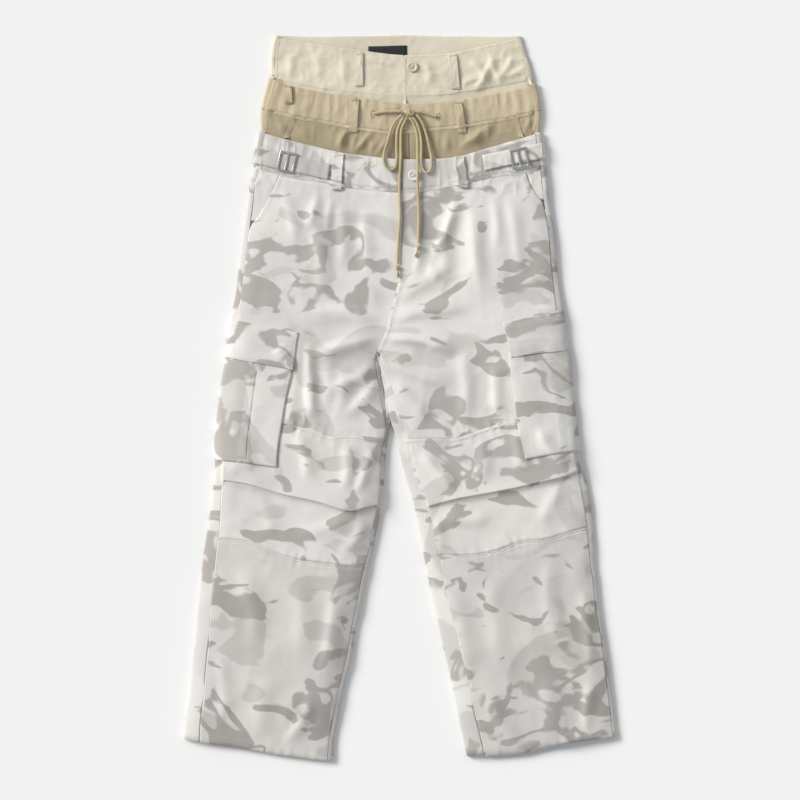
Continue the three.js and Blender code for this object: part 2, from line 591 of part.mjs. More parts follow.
// A back: both its sides turn up round the outline and in over the top to their seams
function back({ sections, first, second, top, floor, thick, stops, spans }) {
  const outer = [];
  const inner = [];
  for (const [ya, yb, turn, pocket] of sections) {
    const xa = first.x(ya);
    const xb = second.x(yb);
    const dir = Math.sign(xb - xa);
    const lineY = (x) => ya + ((yb - ya) * (x - xa)) / (xb - xa);
    const base = floor(ya);
    const lifted = base + (pocket ? POCKET_LIFT : 0);
    const radius = (top(xa + dir * EDGE_IN, ya) - lifted) / 2;
    const far = (top(xb - dir * EDGE_IN, yb) - base) / 2;
    const topAt = (x) => top(x, lineY(x));
    const near = turnedEdge({ x: xa, dir, floor: lifted, radius, top: topAt });
    const away = turnedEdge({ x: xb, dir: -dir, floor: base, radius: far, share: turn, top: topAt });
    const nearEnd = near.arc + first.seam(ya) - radius;
    const awayFull = away.arc + Math.max(SEAM_LEAST, second.seam(yb) - far);
    const slack = (1 - turn) * awayFull;
    const nearStops = [nearEnd, (nearEnd + near.arc) / 2, ...ARC_STEPS.map((s) => s * near.arc)];
    const awayStops = [
      ...ARC_STEPS.map((s) => s * away.arc).reverse(), (awayFull + away.arc) / 2, awayFull,
    ];
    const outerRow = [];
    const innerRow = [];
    const put = (row, [x, z]) => row.push([x, lineY(x), z]);
    for (const reach of nearStops) {
      put(outerRow, near.place(reach, nearEnd, 0));
      put(innerRow, near.place(reach, nearEnd, thick));
    }
    const start = near.place(0, nearEnd, 0)[0];
    for (const [i, stop] of stops.entries()) {
      const z = i === stops.length - 1 ? base : lifted;
      put(outerRow, [start + dir * stop, z]);
      put(innerRow, [start + dir * stop, z + thick]);
    }
    const lastStop = stops.length ? start + dir * stops[stops.length - 1] : start;
    const awayStart = away.place(-slack, awayFull - slack, 0)[0];
    for (let i = 1; i < spans; i += 1) {
      const x = mix(lastStop, awayStart, i / spans);
      put(outerRow, [x, base]);
      put(innerRow, [x, base + thick]);
    }
    for (const reach of awayStops) {
      put(outerRow, away.place(reach - slack, awayFull - slack, 0));
      put(innerRow, away.place(reach - slack, awayFull - slack, thick));
    }
    outer.push(outerRow);
    inner.push(innerRow);
  }
  return wall(outer, inner);
}

function camoBack(side) {
  const { out, inner, outseam, inseam, dir, sections } = SIDES[side];
  add(`camo_back_${side}`, back({
    sections,
    first: { x: out, seam: (y) => outseam(y) - SEAM },
    second: { x: (y) => inner(y) - dir * SEAM, seam: (y) => inseam(y) - 2 * SEAM },
    top: (x, y) => camoTop(side, x, y),
    floor: () => 0,
    thick: CAMO_WALL,
    stops: POCKET_REACH,
    spans: BACK_SPANS,
  }), "camo");
}

// The outer edge of a front: the slanted pocket opening, then the side seam
function frontEdge(side) {
  const { edges, slant } = SIDES[side];
  const opening = straight(slant);
  const foot = slant[slant.length - 1][0];
  return (y) => (y > foot ? opening(y) : edges.outer(y));
}

// The inner edge of a front: the fly and rise, then the inseam
function frontInner(side) {
  const { edges } = SIDES[side];
  const { fork } = edges;
  return (y) => {
    if (y >= CROTCH_Y) return rise(y);
    if (y <= fork) return edges.inside(y);
    return mix(edges.inside(fork), rise(CROTCH_Y), (y - fork) / (CROTCH_Y - fork));
  };
}

function camoFront(side) {
  const { seams, slant, edges } = SIDES[side];
  const shape = { from: frontEdge(side), to: frontInner(side), top: seams.band, foot: seams.knee };
  const [corner, foot] = slant.slice(-2).map((row) => row[0]);
  const upper = slant.slice(1, -2).map((row) => [row[0], row[0] - FRONT_LEAN.upper]);
  const pocket = [[corner, corner - FRONT_LEAN.corner], [foot, foot - FRONT_LEAN.foot]];
  const crotch = [CROTCH_Y + FRONT_LEAN.crotch, CROTCH_Y];
  const [forkLow, forkHigh] = FORK_ROWS;
  const levels = edges.levels.filter(([a, b]) => a < foot - POCKET_CLEAR
    && (a < forkLow || a > forkHigh) && (b > CROTCH_Y + CROTCH_CLEAR || b < edges.fork + 1));
  add(`camo_front_${side}`, panel({
    shape, height: (x, y) => camoTop(side, x, y) + flyStep(side, x, y), thick: CAMO_WALL,
    across: evenly(LEG_COLUMNS), rows: rowsAt(shape, [...upper, ...pocket, crotch, ...levels]),
  }), "camo");
}

function camoWaistband(side) {
  const { out, outseam, dir, seams } = SIDES[side];
  const from = straight(CAMO_BAND_SECTIONS.map(([y]) => [y, out(y) + dir * outseam(y)]));
  const shape = { from, to: () => rise(400), top: seams.waist, foot: seams.band };
  const wave = (u) => 0.5 - 0.5 * Math.cos(2 * Math.PI * CAMO_GATHERS * u);
  const gather = (u) => ease(u, ...CAMO_GATHER_FADE) * wave(u);
  add(`camo_waistband_${side}`, panel({
    shape, height: (x, y) => camoTop(side, x, y) + flyStep(side, x, 300), thick: CAMO_WALL,
    across: evenly(CAMO_GATHERS * 4), rows: [[0, 0], [1, 1]],
    lift: (u) => BAND_PROUD + CAMO_GATHER_HIGH * gather(u),
  }), "camo");
}

// How far the knee panel has risen over the leg on its way down to the tuck
function kneeRise(side, x, y) {
  const { seams } = SIDES[side];
  const head = seams.knee(x);
  const share = Math.max(0, (head - y) / (head - seams.tuck(x) - TUCK_PITCH / 2 - TUCK_RUN));
  const [middle, full] = TUCK_RISE;
  const rest = 2 * (share - 0.5);
  return TUCK_PITCH * (share < 0.5 ? 2 * middle * share : mix(middle, full, rest));
}

// The knee panel: it runs down over a deep tuck, turns back under itself, and on down to its seam
function kneePanel(side) {
  const { seams } = SIDES[side];
  const pitch = TUCK_PITCH;
  const shape = {
    from: frontEdge(side), to: frontInner(side), top: seams.knee, foot: seams.shin, inset: 2 * SEAM,
  };
  const turn = (centre, level, angle) => [
    centre - (pitch / 2) * Math.sin(angle), level + (pitch / 2) * Math.cos(angle), angle,
  ];
  const [middleRise, fullRise] = TUCK_RISE.map((share) => share * pitch);
  const outer = [];
  const inner = [];
  for (const u of evenly(LEG_COLUMNS)) {
    const [, head] = pointOf(shape, u, 0);
    const [, foot] = pointOf(shape, u, 1);
    const edge = seams.tuck(pointOf(shape, u, 0.5)[0]) + pitch / 2;
    const stations = [
      [head, 0, 0], [mix(head, edge + TUCK_RUN, 0.5), middleRise, 0], [edge + TUCK_RUN, fullRise, 0],
      ...evenly(4).map((t) => turn(edge, 1.5 * pitch, Math.PI * t)),
      ...evenly(4).map((t) => {
        const [y] = turn(edge + TUCK_DEEP, 0, -Math.PI * t);
        const [, level] = turn(0, 0.5 * pitch, -Math.PI * (1 - t));
        return [y, level, Math.PI * (1 - t)];
      }),
      [edge, 0, 0], [mix(edge, foot, 0.5), 0, 0], [foot, 0, 0],
    ];
    const place = ([y, level, angle], sunk) => {
      const width = Math.abs(shape.to(y) - shape.from(y));
      const x = mix(shape.from(y), shape.to(y), mix(2 * SEAM / width, 1 - 2 * SEAM / width, u));
      const middle = camoTop(side, x, y) - CAMO_WALL / 2 + level;
      const half = CAMO_WALL / 2 - sunk;
      return [x, y - half * Math.sin(angle), middle + half * Math.cos(angle)];
    };
    outer.push(stations.map((station) => place(station, 0)));
    inner.push(stations.map((station) => place(station, CAMO_WALL)));
  }
  add(`camo_knee_${side}`, wall(outer, inner), "camo");
}

function shinPanel(side) {
  const { seams, edges } = SIDES[side];
  const shape = { from: frontEdge(side), to: frontInner(side), top: seams.shin, foot: seams.hem };
  add(`camo_shin_${side}`, panel({
    shape, height: (x, y) => camoTop(side, x, y), thick: CAMO_WALL, across: evenly(LEG_COLUMNS),
    rows: rowsAt(shape, edges.levels),
  }), "camo");
}

function handPocket(side) {
  const { slant, seams, edges } = SIDES[side];
  const foot = slant[slant.length - 2][0];
  const shape = { from: edges.outer, to: straight(slant), top: seams.band, foot: () => foot };
  const corners = slant.slice(1, -1).map((row) => [row[0], row[0]]);
  add(`camo_hand_pocket_${side}`, panel({
    shape, height: (x, y) => camoTop(side, x, y) - FACING_SUNK, thick: FACING_WALL,
    across: evenly(3), rows: rowsAt(shape, [...edges.levels, ...corners]),
  }), "camo");
}

// The back of a waist, flat on the floor, with both its sides turned up to the side seams
function waistTube({ name, colour, left, right, seamIn, top, floor, thick, sections }) {
  const seam = () => seamIn - SEAM;
  add(name, back({
    sections, first: { x: left, seam }, second: { x: right, seam },
    top, floor, thick, stops: [], spans: BAND_SPANS,
  }), colour);
}

function tanWaist() {
  const seams = lines(TAN_SEAMS);
  const sections = [...TAN_BAND_SECTIONS, ...TAN_SECTIONS];
  const from = straight(sections.map(([y]) => [y, tanLeft(y) + TAN_SEAM_IN]));
  const to = straight(sections.map(([, y]) => [y, tanRight(y) - TAN_SEAM_IN]));
  const tube = {
    colour: "tan", left: tanLeft, right: tanRight, seamIn: TAN_SEAM_IN, top: tanTop, floor: tanFloor,
    thick: INNER_WALL,
  };
  waistTube({ ...tube, name: "tan_waistband_back", sections: TAN_BAND_SECTIONS });
  waistTube({ ...tube, name: "tan_back", sections: TAN_SECTIONS });
  add("tan_waistband_front", panel({
    shape: { from, to, top: seams.waist, foot: seams.band, inset: GAP }, height: tanTop,
    thick: INNER_WALL, across: evenly(TAN_GATHERS * 3), rows: [[0, 0], [0.5, 0.5], [1, 1]],
    lift: (u, v, x, y) => tanGather(u, y),
  }), "tan");
  const halves = [["left", from, () => TAN_FLY], ["right", () => TAN_FLY, to]];
  for (const [side, start, end] of halves) {
    add(`tan_front_${side}`, panel({
      shape: { from: start, to: end, top: seams.band, foot: seams.tucked, inset: GAP },
      height: tanTop, thick: INNER_WALL,
      across: evenly(12), rows: TAN_ROWS.map((v) => [v, v]),
    }), "tan");
  }
}

// The drawn-up cloth of the tan waistband
function tanGather(u, y) {
  const wave = 0.5 - 0.5 * Math.cos(2 * Math.PI * TAN_GATHERS * u);
  return TAN_GATHER_HIGH * wave * ease(y, ...CHANGE.tan);
}

function creamWaist() {
  const seams = lines(CREAM_SEAMS);
  const sections = [...CREAM_BAND_SECTIONS, ...CREAM_SECTIONS];
  const from = straight(sections.map(([y]) => [y, creamLeft(y) + CREAM_SEAM_IN]));
  const to = straight(sections.map(([, y]) => [y, creamRight(y) - CREAM_SEAM_IN]));
  const tube = {
    colour: "cream", left: creamLeft, right: creamRight, seamIn: CREAM_SEAM_IN, top: creamTop,
    floor: creamFloor, thick: INNER_WALL,
  };
  waistTube({ ...tube, name: "cream_waistband_back", sections: CREAM_BAND_SECTIONS });
  waistTube({ ...tube, name: "cream_back", sections: CREAM_SECTIONS });
  const halves = [["left", from, () => CREAM_FLY], ["right", () => CREAM_FLY, to]];
  for (const [side, start, end] of halves) {
    const common = { height: creamTop, thick: INNER_WALL, across: evenly(10) };
    add(`cream_waistband_${side}`, panel({
      ...common, shape: { from: start, to: end, top: seams.waist, foot: seams.band, inset: GAP },
      rows: evenly(4).map((v) => [v, v]),
    }), "cream");
    add(`cream_front_${side}`, panel({
      ...common, shape: { from: start, to: end, top: seams.band, foot: seams.tucked, inset: GAP },
      rows: evenly(2).map((v) => [v, v]),
    }), "cream");
  }
  const [x0, x1, top, foot] = LABEL;
  add("woven_label", panel({
    shape: { from: () => x0, to: () => x1, top: () => top, foot: () => foot },
    height: () => INNER_WALL + GAP + LABEL_WALL, thick: LABEL_WALL,
    across: evenly(2), rows: [[0, 0], [1, 1]],
  }), "label");
}

// What lies under a belt loop on each layer
const LOOP_BASE = {
  camo: () => CAMO_WAIST + BAND_PROUD + CAMO_GATHER_HIGH,
  tan: (y) => tanTop(0, y) + TAN_GATHER_HIGH * ease(y, ...CHANGE.tan) + LOOP_CLEAR,
  cream: (y) => creamTop(0, y) + LOOP_CLEAR,
};

function beltLoops() {
  for (const [name, layer, xTop, xFoot, yTop, yFoot, width] of LOOPS) {
    const middle = (y) => mix(xFoot, xTop, (y - yFoot) / (yTop - yFoot));
    const arch = (v) => LOOP_ARCH * Math.sqrt(Math.max(0, Math.sin(Math.PI * v)));
    const from = (y) => middle(y) - width / 2;
    const to = (y) => middle(y) + width / 2;
    add(name, panel({
      shape: { from, to, top: () => yTop, foot: () => yFoot },
      height: (x, y) => LOOP_BASE[layer](y) + GAP + TRIM_WALL, thick: TRIM_WALL,
      across: evenly(2), rows: evenly(6).map((v) => [v, v]), lift: (u, v) => arch(v),
    }), layer);
  }
}

// What is sewn over the side fold: a cargo pocket, its flap, or an adjuster strap. Each row is y at
// the fold, how far it rises over 100 mm of the top, and how far in it reaches over the top.
function overFold({
  side, rows, clear = GAP, thick, floorReach, columns, topOf, bump, shift = () => 0,
}) {
  const { out, inner: inside, dir, sections } = SIDES[side];
  const lean = straight(sections.map(([ya, yb]) => [ya, (yb - ya) / Math.abs(inside(yb) - out(ya))]));
  const proud = clear + thick;
  const floor = floorReach ? 0 : -proud;
  const outer = [];
  const inner = [];
  for (const [y0, tilt, reachTop] of rows) {
    const x0 = out(y0) - dir * proud;
    const lineY = (x) => y0 + lean(y0) * Math.abs(x - x0);
    const radius = (topOf(out(y0) + dir * EDGE_IN, y0) + proud - floor) / 2;
    const edge = turnedEdge({ x: x0, dir, floor, radius, top: (x) => topOf(x, lineY(x)) + proud });
    const run = reachTop - radius;
    const tops = columns(run).map((over) => edge.arc + over);
    const floors = floorReach ? [-floorReach, -floorReach / 2, 0, edge.arc / 4] : [];
    const outerRow = [];
    const innerRow = [];
    for (const reach of [...floors, edge.arc / 2, edge.arc * 0.75, edge.arc]) {
      const [xo, zo] = edge.place(reach, edge.arc + run, 0);
      const [xi, zi] = edge.place(reach, edge.arc + run, thick);
      outerRow.push([xo, lineY(xo), zo]);
      innerRow.push([xi, lineY(xo), zi]);
    }
    for (const reach of tops) {
      const over = reach - edge.arc;
      const [x] = edge.place(reach, edge.arc + run, 0);
      const y = lineY(x) + (tilt * over) / 100 + shift(y0, over);
      const z = topOf(x, y) + proud + bump(y0, over, x, y);
      outerRow.push([x, y, z]);
      innerRow.push([x, y, z - thick]);
    }
    outer.push(outerRow);
    inner.push(innerRow);
  }
  return wall(outer, inner);
}

// Rows from one to another, with one at each of the back's sections between them
function rowsOver(side, top, foot) {
  const heights = SIDES[side].sections.map((row) => row[0])
    .filter((y) => y < top[0] - ROW_CLEAR && y > foot[0] + ROW_CLEAR);
  return [top[0], ...heights, foot[0]].map((y) => {
    const t = (top[0] - y) / (top[0] - foot[0]);
    return top.map((value, i) => mix(value, foot[i], t));
  });
}

function cargoPocket(side) {
  const { flapTop, flapFoot, bodyTop, bodyFoot } = CARGO[side];
  const [pleatFoot, pleatHead] = PLEAT_AT;
  const pleat = (over) => PLEAT_STEP * ease(over, pleatFoot, pleatHead);
  const common = {
    side, thick: POCKET_WALL, floorReach: POCKET_FLOOR, topOf: (x, y) => camoTop(side, x, y),
    columns: (run) => [...POCKET_COLUMNS, pleatFoot, pleatHead, mix(pleatHead, run, 0.5), run],
  };
  const lap = POCKET_LIFT + LAP_CLEAR;
  add(`cargo_flap_${side}`, overFold({
    ...common, rows: rowsOver(side, flapTop, flapFoot),
    bump: (y0, over) => (y0 < bodyTop[0] + FLAP_LAP ? lap + pleat(over) : 0),
  }), "camo");
  add(`cargo_pocket_${side}`, overFold({
    ...common, rows: rowsOver(side, bodyTop, bodyFoot),
    bump: (y0, over, x, y) => pleat(over) + kneeRise(side, x, y),
    shift: (y0, over) => (y0 === bodyTop[0] && over > POCKET_COLUMNS[0] + GAP ? MOUTH_SHIFT : 0),
  }), "camo");
}

function adjuster(side) {
  const { rows, at, turn } = STRAPS[side];
  const over = BAND_PROUD + CAMO_GATHER_HIGH;
  add(`side_strap_${side}`, overFold({
    side, rows: rowsOver(side, rows[0], rows[1]), clear: STRAP_CLEAR, thick: TRIM_WALL, floorReach: 0,
    columns: (run) => [STRAP_COLUMNS.first, ...STRAP_COLUMNS.shares.map((t) => t * run)],
    topOf: () => CAMO_WAIST, bump: () => over + GAP - STRAP_CLEAR,
  }), "camo");
  const { long, high, wire, thick } = BUCKLE;
  const xs = [-long / 2, -long / 2 + wire, -wire / 2, wire / 2, long / 2 - wire, long / 2];
  const ys = [-high / 2, -high / 2 + wire, high / 2 - wire, high / 2];
  const inside = (i, j) => i >= 0 && i < xs.length - 1 && j >= 0 && j < ys.length - 1;
  const slot = (i, j) => j === 1 && (i === 1 || i === 3);
  const filled = (i, j) => inside(i, j) && !slot(i, j);
  const buckle = add(`side_buckle_${side}`, plate(xs, ys, thick, filled), "metal", 0.3, 0.9);
  buckle.position.set(at[0], at[1], CAMO_WAIST + over + GAP + TRIM_WALL + BUCKLE_CLEAR);
  buckle.rotation.z = turn;
}

function button(name, [x, y, radius], base, colour) {
  const profile = BUTTON_PROFILE.map(([r, z]) => new THREE.Vector2(r * radius, z * BUTTON_HIGH));
  const mesh = add(name, new THREE.LatheGeometry(profile, BUTTON_STEPS), colour, 0.5);
  mesh.rotation.x = Math.PI / 2;
  mesh.position.set(x, y, base);
}

function drawstring() {
  const ring = new THREE.Shape(Array.from({ length: CORD_SIDES }, (_, i) => {
    const angle = (Math.PI * (2 * i + 1)) / CORD_SIDES;
    return new THREE.Vector2((CORD / 2) * Math.cos(angle), (CORD / 2) * Math.sin(angle));
  }));
  for (const [name, route] of Object.entries(CORD_ROUTES)) {
    const path = new THREE.CatmullRomCurve3(route.map((point) => new THREE.Vector3(...point)));
    const steps = CORD_STEPS[name];
    const along = { steps, extrudePath: path, bevelEnabled: false };
    add(name, new THREE.ExtrudeGeometry(ring, along), "cord");
  }
  const knot = add("cord_bow_knot", new THREE.SphereGeometry(1, 16, 10), "cord");
  knot.position.set(...KNOT.at);
  knot.scale.set(...KNOT.half);
  const profile = TIP_PROFILE.map(([r, h]) => new THREE.Vector2(r, h));
  for (const [name, [x, y, z, turn]] of Object.entries(TIPS)) {
    const tip = add(name, new THREE.LatheGeometry(profile, TIP_STEPS), "cord");
    tip.position.set(x, y, z);
    tip.rotation.z = Math.PI + (turn * Math.PI) / 180;
  }
}

camoBack("left");
camoBack("right");
waistTube({
  name: "camo_waistband_back", colour: "camo", left: SIDES.left.out, right: SIDES.right.out,
  seamIn: CAMO_BAND_SEAM_IN, top: () => CAMO_WAIST, floor: () => 0, thick: CAMO_WALL,
  sections: CAMO_BAND_SECTIONS,
});
for (const side of ["left", "right"]) {
  camoFront(side);
  kneePanel(side);
  shinPanel(side);
  handPocket(side);
  camoWaistband(side);
  cargoPocket(side);
  adjuster(side);
}
tanWaist();
creamWaist();
beltLoops();
button("fly_button", FLY_BUTTON, CAMO_WAIST + BAND_PROUD + FLY_BUTTON_LIFT, "button");
button("cream_button", CREAM_BUTTON, CREAM_TUCKED + GAP, "creamButton");
drawstring();

export default pants;
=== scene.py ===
"""Cargo pants laid flat, face up: camo outer layer, tan and cream waists sewn inside it.

Lengths are in millimetres here and become metres where a mesh is built. X runs to the viewer's
right, Y towards the waist and Z up from the surface that the pants lie on.
"""
import json
import math

import bmesh
import bpy
import numpy as np
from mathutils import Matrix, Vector
from mathutils.bvhtree import BVHTree

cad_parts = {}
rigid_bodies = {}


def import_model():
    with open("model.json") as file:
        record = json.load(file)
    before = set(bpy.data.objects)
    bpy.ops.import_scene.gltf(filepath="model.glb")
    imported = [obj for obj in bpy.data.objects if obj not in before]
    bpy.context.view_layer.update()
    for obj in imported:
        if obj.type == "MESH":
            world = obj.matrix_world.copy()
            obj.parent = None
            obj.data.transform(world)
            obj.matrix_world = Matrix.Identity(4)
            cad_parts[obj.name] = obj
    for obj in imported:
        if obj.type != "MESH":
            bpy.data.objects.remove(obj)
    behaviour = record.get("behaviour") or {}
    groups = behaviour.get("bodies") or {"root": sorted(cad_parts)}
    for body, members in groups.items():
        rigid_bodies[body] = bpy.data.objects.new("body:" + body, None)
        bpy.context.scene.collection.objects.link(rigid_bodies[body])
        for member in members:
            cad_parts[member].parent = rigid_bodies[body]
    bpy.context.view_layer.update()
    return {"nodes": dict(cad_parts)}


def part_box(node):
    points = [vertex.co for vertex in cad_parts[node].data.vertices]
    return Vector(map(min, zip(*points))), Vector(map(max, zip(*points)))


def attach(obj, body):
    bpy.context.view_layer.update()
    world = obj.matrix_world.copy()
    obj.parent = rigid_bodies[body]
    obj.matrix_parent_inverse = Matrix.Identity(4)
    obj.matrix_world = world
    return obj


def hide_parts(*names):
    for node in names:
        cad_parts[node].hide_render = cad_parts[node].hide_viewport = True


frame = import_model()
MM = 0.001

# The view: 800 pixels across at 1.6 mm each, its middle a little off the garment's origin
VIEW_WIDTH = 800 * 1.6
VIEW_CENTRE = (-1.6, -3.2)
LENS = 210.0
SENSOR = 36.0

# Studio light: the sky's strength, the sun's, its width, and where it comes from in degrees
SKY = 0.50
SUN = 3.65
SUN_WIDE = 26
SUN_FROM = (153, 30)

# Heights between which the floor side of each layer turns into its top side
TURN = {"camo": (2.4, 4.4), "tan": (3.6, 5.3), "cream": (3.12, 3.4)}

# Folds: start, middle and end of a curve, half width, height, and the half width of the far side
# as a share of the near one
CAMO_FOLDS = [
    # from the crotch across the thighs
    ((-36, 92), (-92, 84), (-150, 62), 13, 2.6, 0.6),
    ((-30, 118), (-95, 138), (-165, 132), 16, 2.0, 0.6),
    ((-26, 146), (-70, 185), (-130, 205), 15, 1.5, 0.7),
    ((-38, 62), (-84, 26), (-140, 14), 14, 1.8, 0.6),
    ((-34, 34), (-66, -8), (-96, -34), 12, 1.6, 0.7),
    ((-28, 92), (30, 90), (98, 66), 14, 2.4, 0.6),
    ((-20, 118), (40, 138), (120, 140), 16, 2.0, 0.6),
    ((-12, 146), (40, 186), (96, 214), 15, 1.4, 0.7),
    ((-26, 58), (26, 34), (92, 22), 14, 1.8, 0.6),
    ((-18, 28), (20, -10), (52, -36), 12, 1.7, 0.7),
    # the strongest: a crease up each thigh from the knee, and one across to the fly
    ((-146, 96), (-149, 30), (-144, -38), 12, 2.4, 0.45),
    ((-118, 76), (-116, 20), (-120, -30), 15, 1.6, 0.8),
    ((88, 322), (70, 268), (46, 214), 11, 2.2, 0.5),
    ((110, 300), (112, 210), (118, 120), 20, 1.3, 0.8),
    ((150, 320), (158, 230), (150, 150), 22, 1.1, 0.8),
    ((-128, 330), (-142, 300), (-150, 262), 8, 1.2, 0.7),
    ((-108, 326), (-116, 296), (-118, 258), 8, 1.0, 0.7),
    ((40, 206), (52, 200), (60, 188), 8, 1.2, 0.7),
    ((-200, 80), (-192, 70), (-184, 60), 12, 1.5, 0.8),
    # down from the waistband
    ((-150, 330), (-132, 250), (-122, 150), 17, 1.9, 0.6),
    ((-104, 322), (-92, 262), (-98, 200), 12, 1.3, 0.7),
    ((-56, 312), (-58, 250), (-50, 190), 14, 1.3, 0.6),
    ((-196, 340), (-176, 290), (-170, 240), 11, 1.1, 0.7),
    ((112, 330), (118, 240), (136, 150), 17, 1.9, 0.6),
    ((64, 312), (72, 240), (60, 180), 13, 1.2, 0.7),
    ((172, 330), (184, 250), (192, 190), 13, 1.3, 0.7),
    ((146, 326), (152, 280), (148, 230), 9, 0.9, 0.8),
    ((24, 316), (30, 240), (14, 176), 9, 0.9, 0.6),
    # thighs beside the pockets
    ((-150, 52), (-140, 0), (-152, -40), 13, 1.7, 0.6),
    ((-100, 60), (-92, 10), (-104, -44), 15, 1.5, 0.7),
    ((152, 60), (150, 0), (158, -38), 13, 1.6, 0.6),
    ((92, 84), (104, 20), (96, -46), 15, 1.5, 0.7),
    ((-165, 46), (-176, -30), (-183, -96), 8, 0.5, 1.0),
    # knees
    ((-250, -52), (-242, -92), (-252, -120), 12, 1.2, 0.7),
    ((-176, -56), (-150, -96), (-158, -132), 14, 2.0, 0.6),
    ((-92, -72), (-84, -112), (-98, -150), 12, 1.6, 0.7),
    ((-46, -78), (-58, -120), (-78, -158), 10, 1.6, 0.6),
    ((30, -84), (60, -120), (96, -148), 12, 1.9, 0.6),
    ((120, -62), (132, -98), (120, -138), 14, 1.6, 0.7),
    ((222, -44), (236, -80), (270, -108), 13, 2.2, 0.6),
    ((176, -48), (190, -86), (186, -122), 12, 1.4, 0.7),
    # under the tucks
    ((-76, -186), (-120, -206), (-176, -212), 13, 1.4, 0.6),
    ((-60, -190), (-76, -228), (-110, -252), 12, 1.4, 0.6),
    ((-236, -152), (-214, -186), (-206, -226), 12, 0.9, 0.8),
    ((60, -186), (96, -196), (150, -190), 13, 1.5, 0.6),
    ((52, -192), (64, -226), (60, -250), 10, 1.1, 0.7),
    ((262, -142), (236, -170), (222, -206), 13, 1.3, 0.7),
    # shins
    ((-268, -262), (-236, -330), (-240, -420), 20, 1.5, 0.7),
    ((-178, -282), (-156, -352), (-178, -430), 22, 1.6, 0.7),
    ((-104, -292), (-112, -372), (-132, -452), 16, 1.7, 0.6),
    ((-296, -400), (-282, -470), (-292, -536), 13, 1.0, 0.7),
    ((-220, -440), (-222, -500), (-212, -552), 20, 1.3, 0.8),
    ((-142, -470), (-160, -520), (-190, -556), 13, 1.7, 0.6),
    ((72, -284), (96, -362), (104, -446), 20, 1.5, 0.7),
    ((160, -268), (150, -350), (176, -446), 24, 1.6, 0.7),
    ((246, -250), (236, -326), (262, -410), 20, 1.6, 0.6),
    ((292, -300), (298, -380), (306, -450), 11, 1.1, 0.7),
    ((306, -450), (296, -500), (304, -540), 12, 1.4, 0.6),
    ((136, -460), (160, -516), (200, -556), 16, 1.4, 0.7),
    ((222, -440), (240, -500), (236, -550), 20, 1.2, 0.8),
]
TAN_FOLDS = [
    ((-198, 448), (-190, 410), (-200, 370), 7, 1.1, 0.6),
    ((-160, 436), (-152, 404), (-160, 372), 9, 0.9, 0.6),
    ((-104, 430), (-96, 400), (-118, 366), 8, 1.5, 0.5),
    ((-70, 420), (-76, 392), (-66, 360), 10, 1.3, 0.6),
    ((-34, 418), (-46, 392), (-42, 356), 8, 1.2, 0.6),
    ((62, 422), (76, 396), (66, 358), 9, 1.2, 0.6),
    ((104, 428), (126, 402), (130, 372), 10, 1.4, 0.6),
    ((-44, 428), (-60, 410), (-80, 384), 7, 1.7, 0.5),
    ((-84, 434), (-92, 420), (-106, 396), 6, 1.5, 0.5),
    ((-16, 424), (-30, 400), (-48, 380), 6, 1.2, 0.6),
    ((156, 440), (124, 422), (88, 392), 11, 1.9, 0.5),
    ((206, 450), (200, 430), (196, 410), 5, 1.0, 0.6),
]
CREAM_FOLDS = [
    ((104, 540), (128, 520), (132, 496), 8, 1.5, 0.5),
    ((142, 556), (148, 528), (166, 500), 8, 1.4, 0.6),
    ((178, 550), (166, 526), (150, 506), 7, 1.2, 0.6),
    ((96, 500), (112, 508), (132, 512), 6, 1.0, 0.6),
    ((-182, 552), (-176, 530), (-184, 510), 8, 0.9, 0.7),
    ((-136, 556), (-132, 534), (-138, 508), 9, 0.8, 0.7),
    ((-96, 548), (-92, 528), (-98, 500), 8, 0.7, 0.7),
    ((36, 538), (44, 520), (40, 494), 7, 0.8, 0.7),
    ((146, 546), (132, 514), (114, 484), 8, 1.5, 0.5),
    ((200, 534), (184, 522), (158, 512), 6, 1.0, 0.6),
    ((-60, 546), (-30, 536), (0, 532), 6, 0.7, 0.6),
]
# Creases of the underside, which lift off the surface
BACK_FOLDS = [
    ((-40, 150), (-110, 120), (-180, 128), 22, 1.3, 0.8),
    ((-50, 90), (-110, 60), (-170, 40), 20, 1.4, 0.8),
    ((30, 150), (100, 122), (170, 130), 22, 1.3, 0.8),
    ((20, 80), (90, 52), (150, 44), 20, 1.4, 0.8),
    ((-60, -110), (-150, -130), (-250, -120), 20, 1.5, 0.8),
    ((50, -110), (140, -130), (250, -116), 20, 1.5, 0.8),
    ((-70, -170), (-150, -196), (-240, -190), 20, 1.3, 0.8),
    ((60, -176), (150, -190), (240, -180), 20, 1.3, 0.8),
    ((-200, -260), (-190, -380), (-220, -500), 26, 1.3, 0.8),
    ((190, -260), (200, -380), (230, -500), 26, 1.3, 0.8),
]

RELIEF = 2.7  # how much the folds of the tables are raised
PUFF_LEG = 7.0
PUFF_WAIST = 2.4
PUFF_RUN = 36.0

# The lips of the knee tucks: their line, height, and how far up the knee they reach
LIPS = [
    ([(-290, -130), (-242, -139), (-194, -151), (-125, -165), (-78, -180), (-34, -169)], 4.6, 24),
    ([(288, -110), (254, -127), (165, -146), (94, -158), (37, -172)], 4.2, 24),
]

# Broad unevenness: wave length, direction in degrees, height, start
SWELL = [(150, 8, 0.35, 0.3), (96, 97, 0.28, 1.9), (61, 38, 0.22, 4.0), (43, 141, 0.15, 2.6), (29, 70, 0.08, 5.1)]

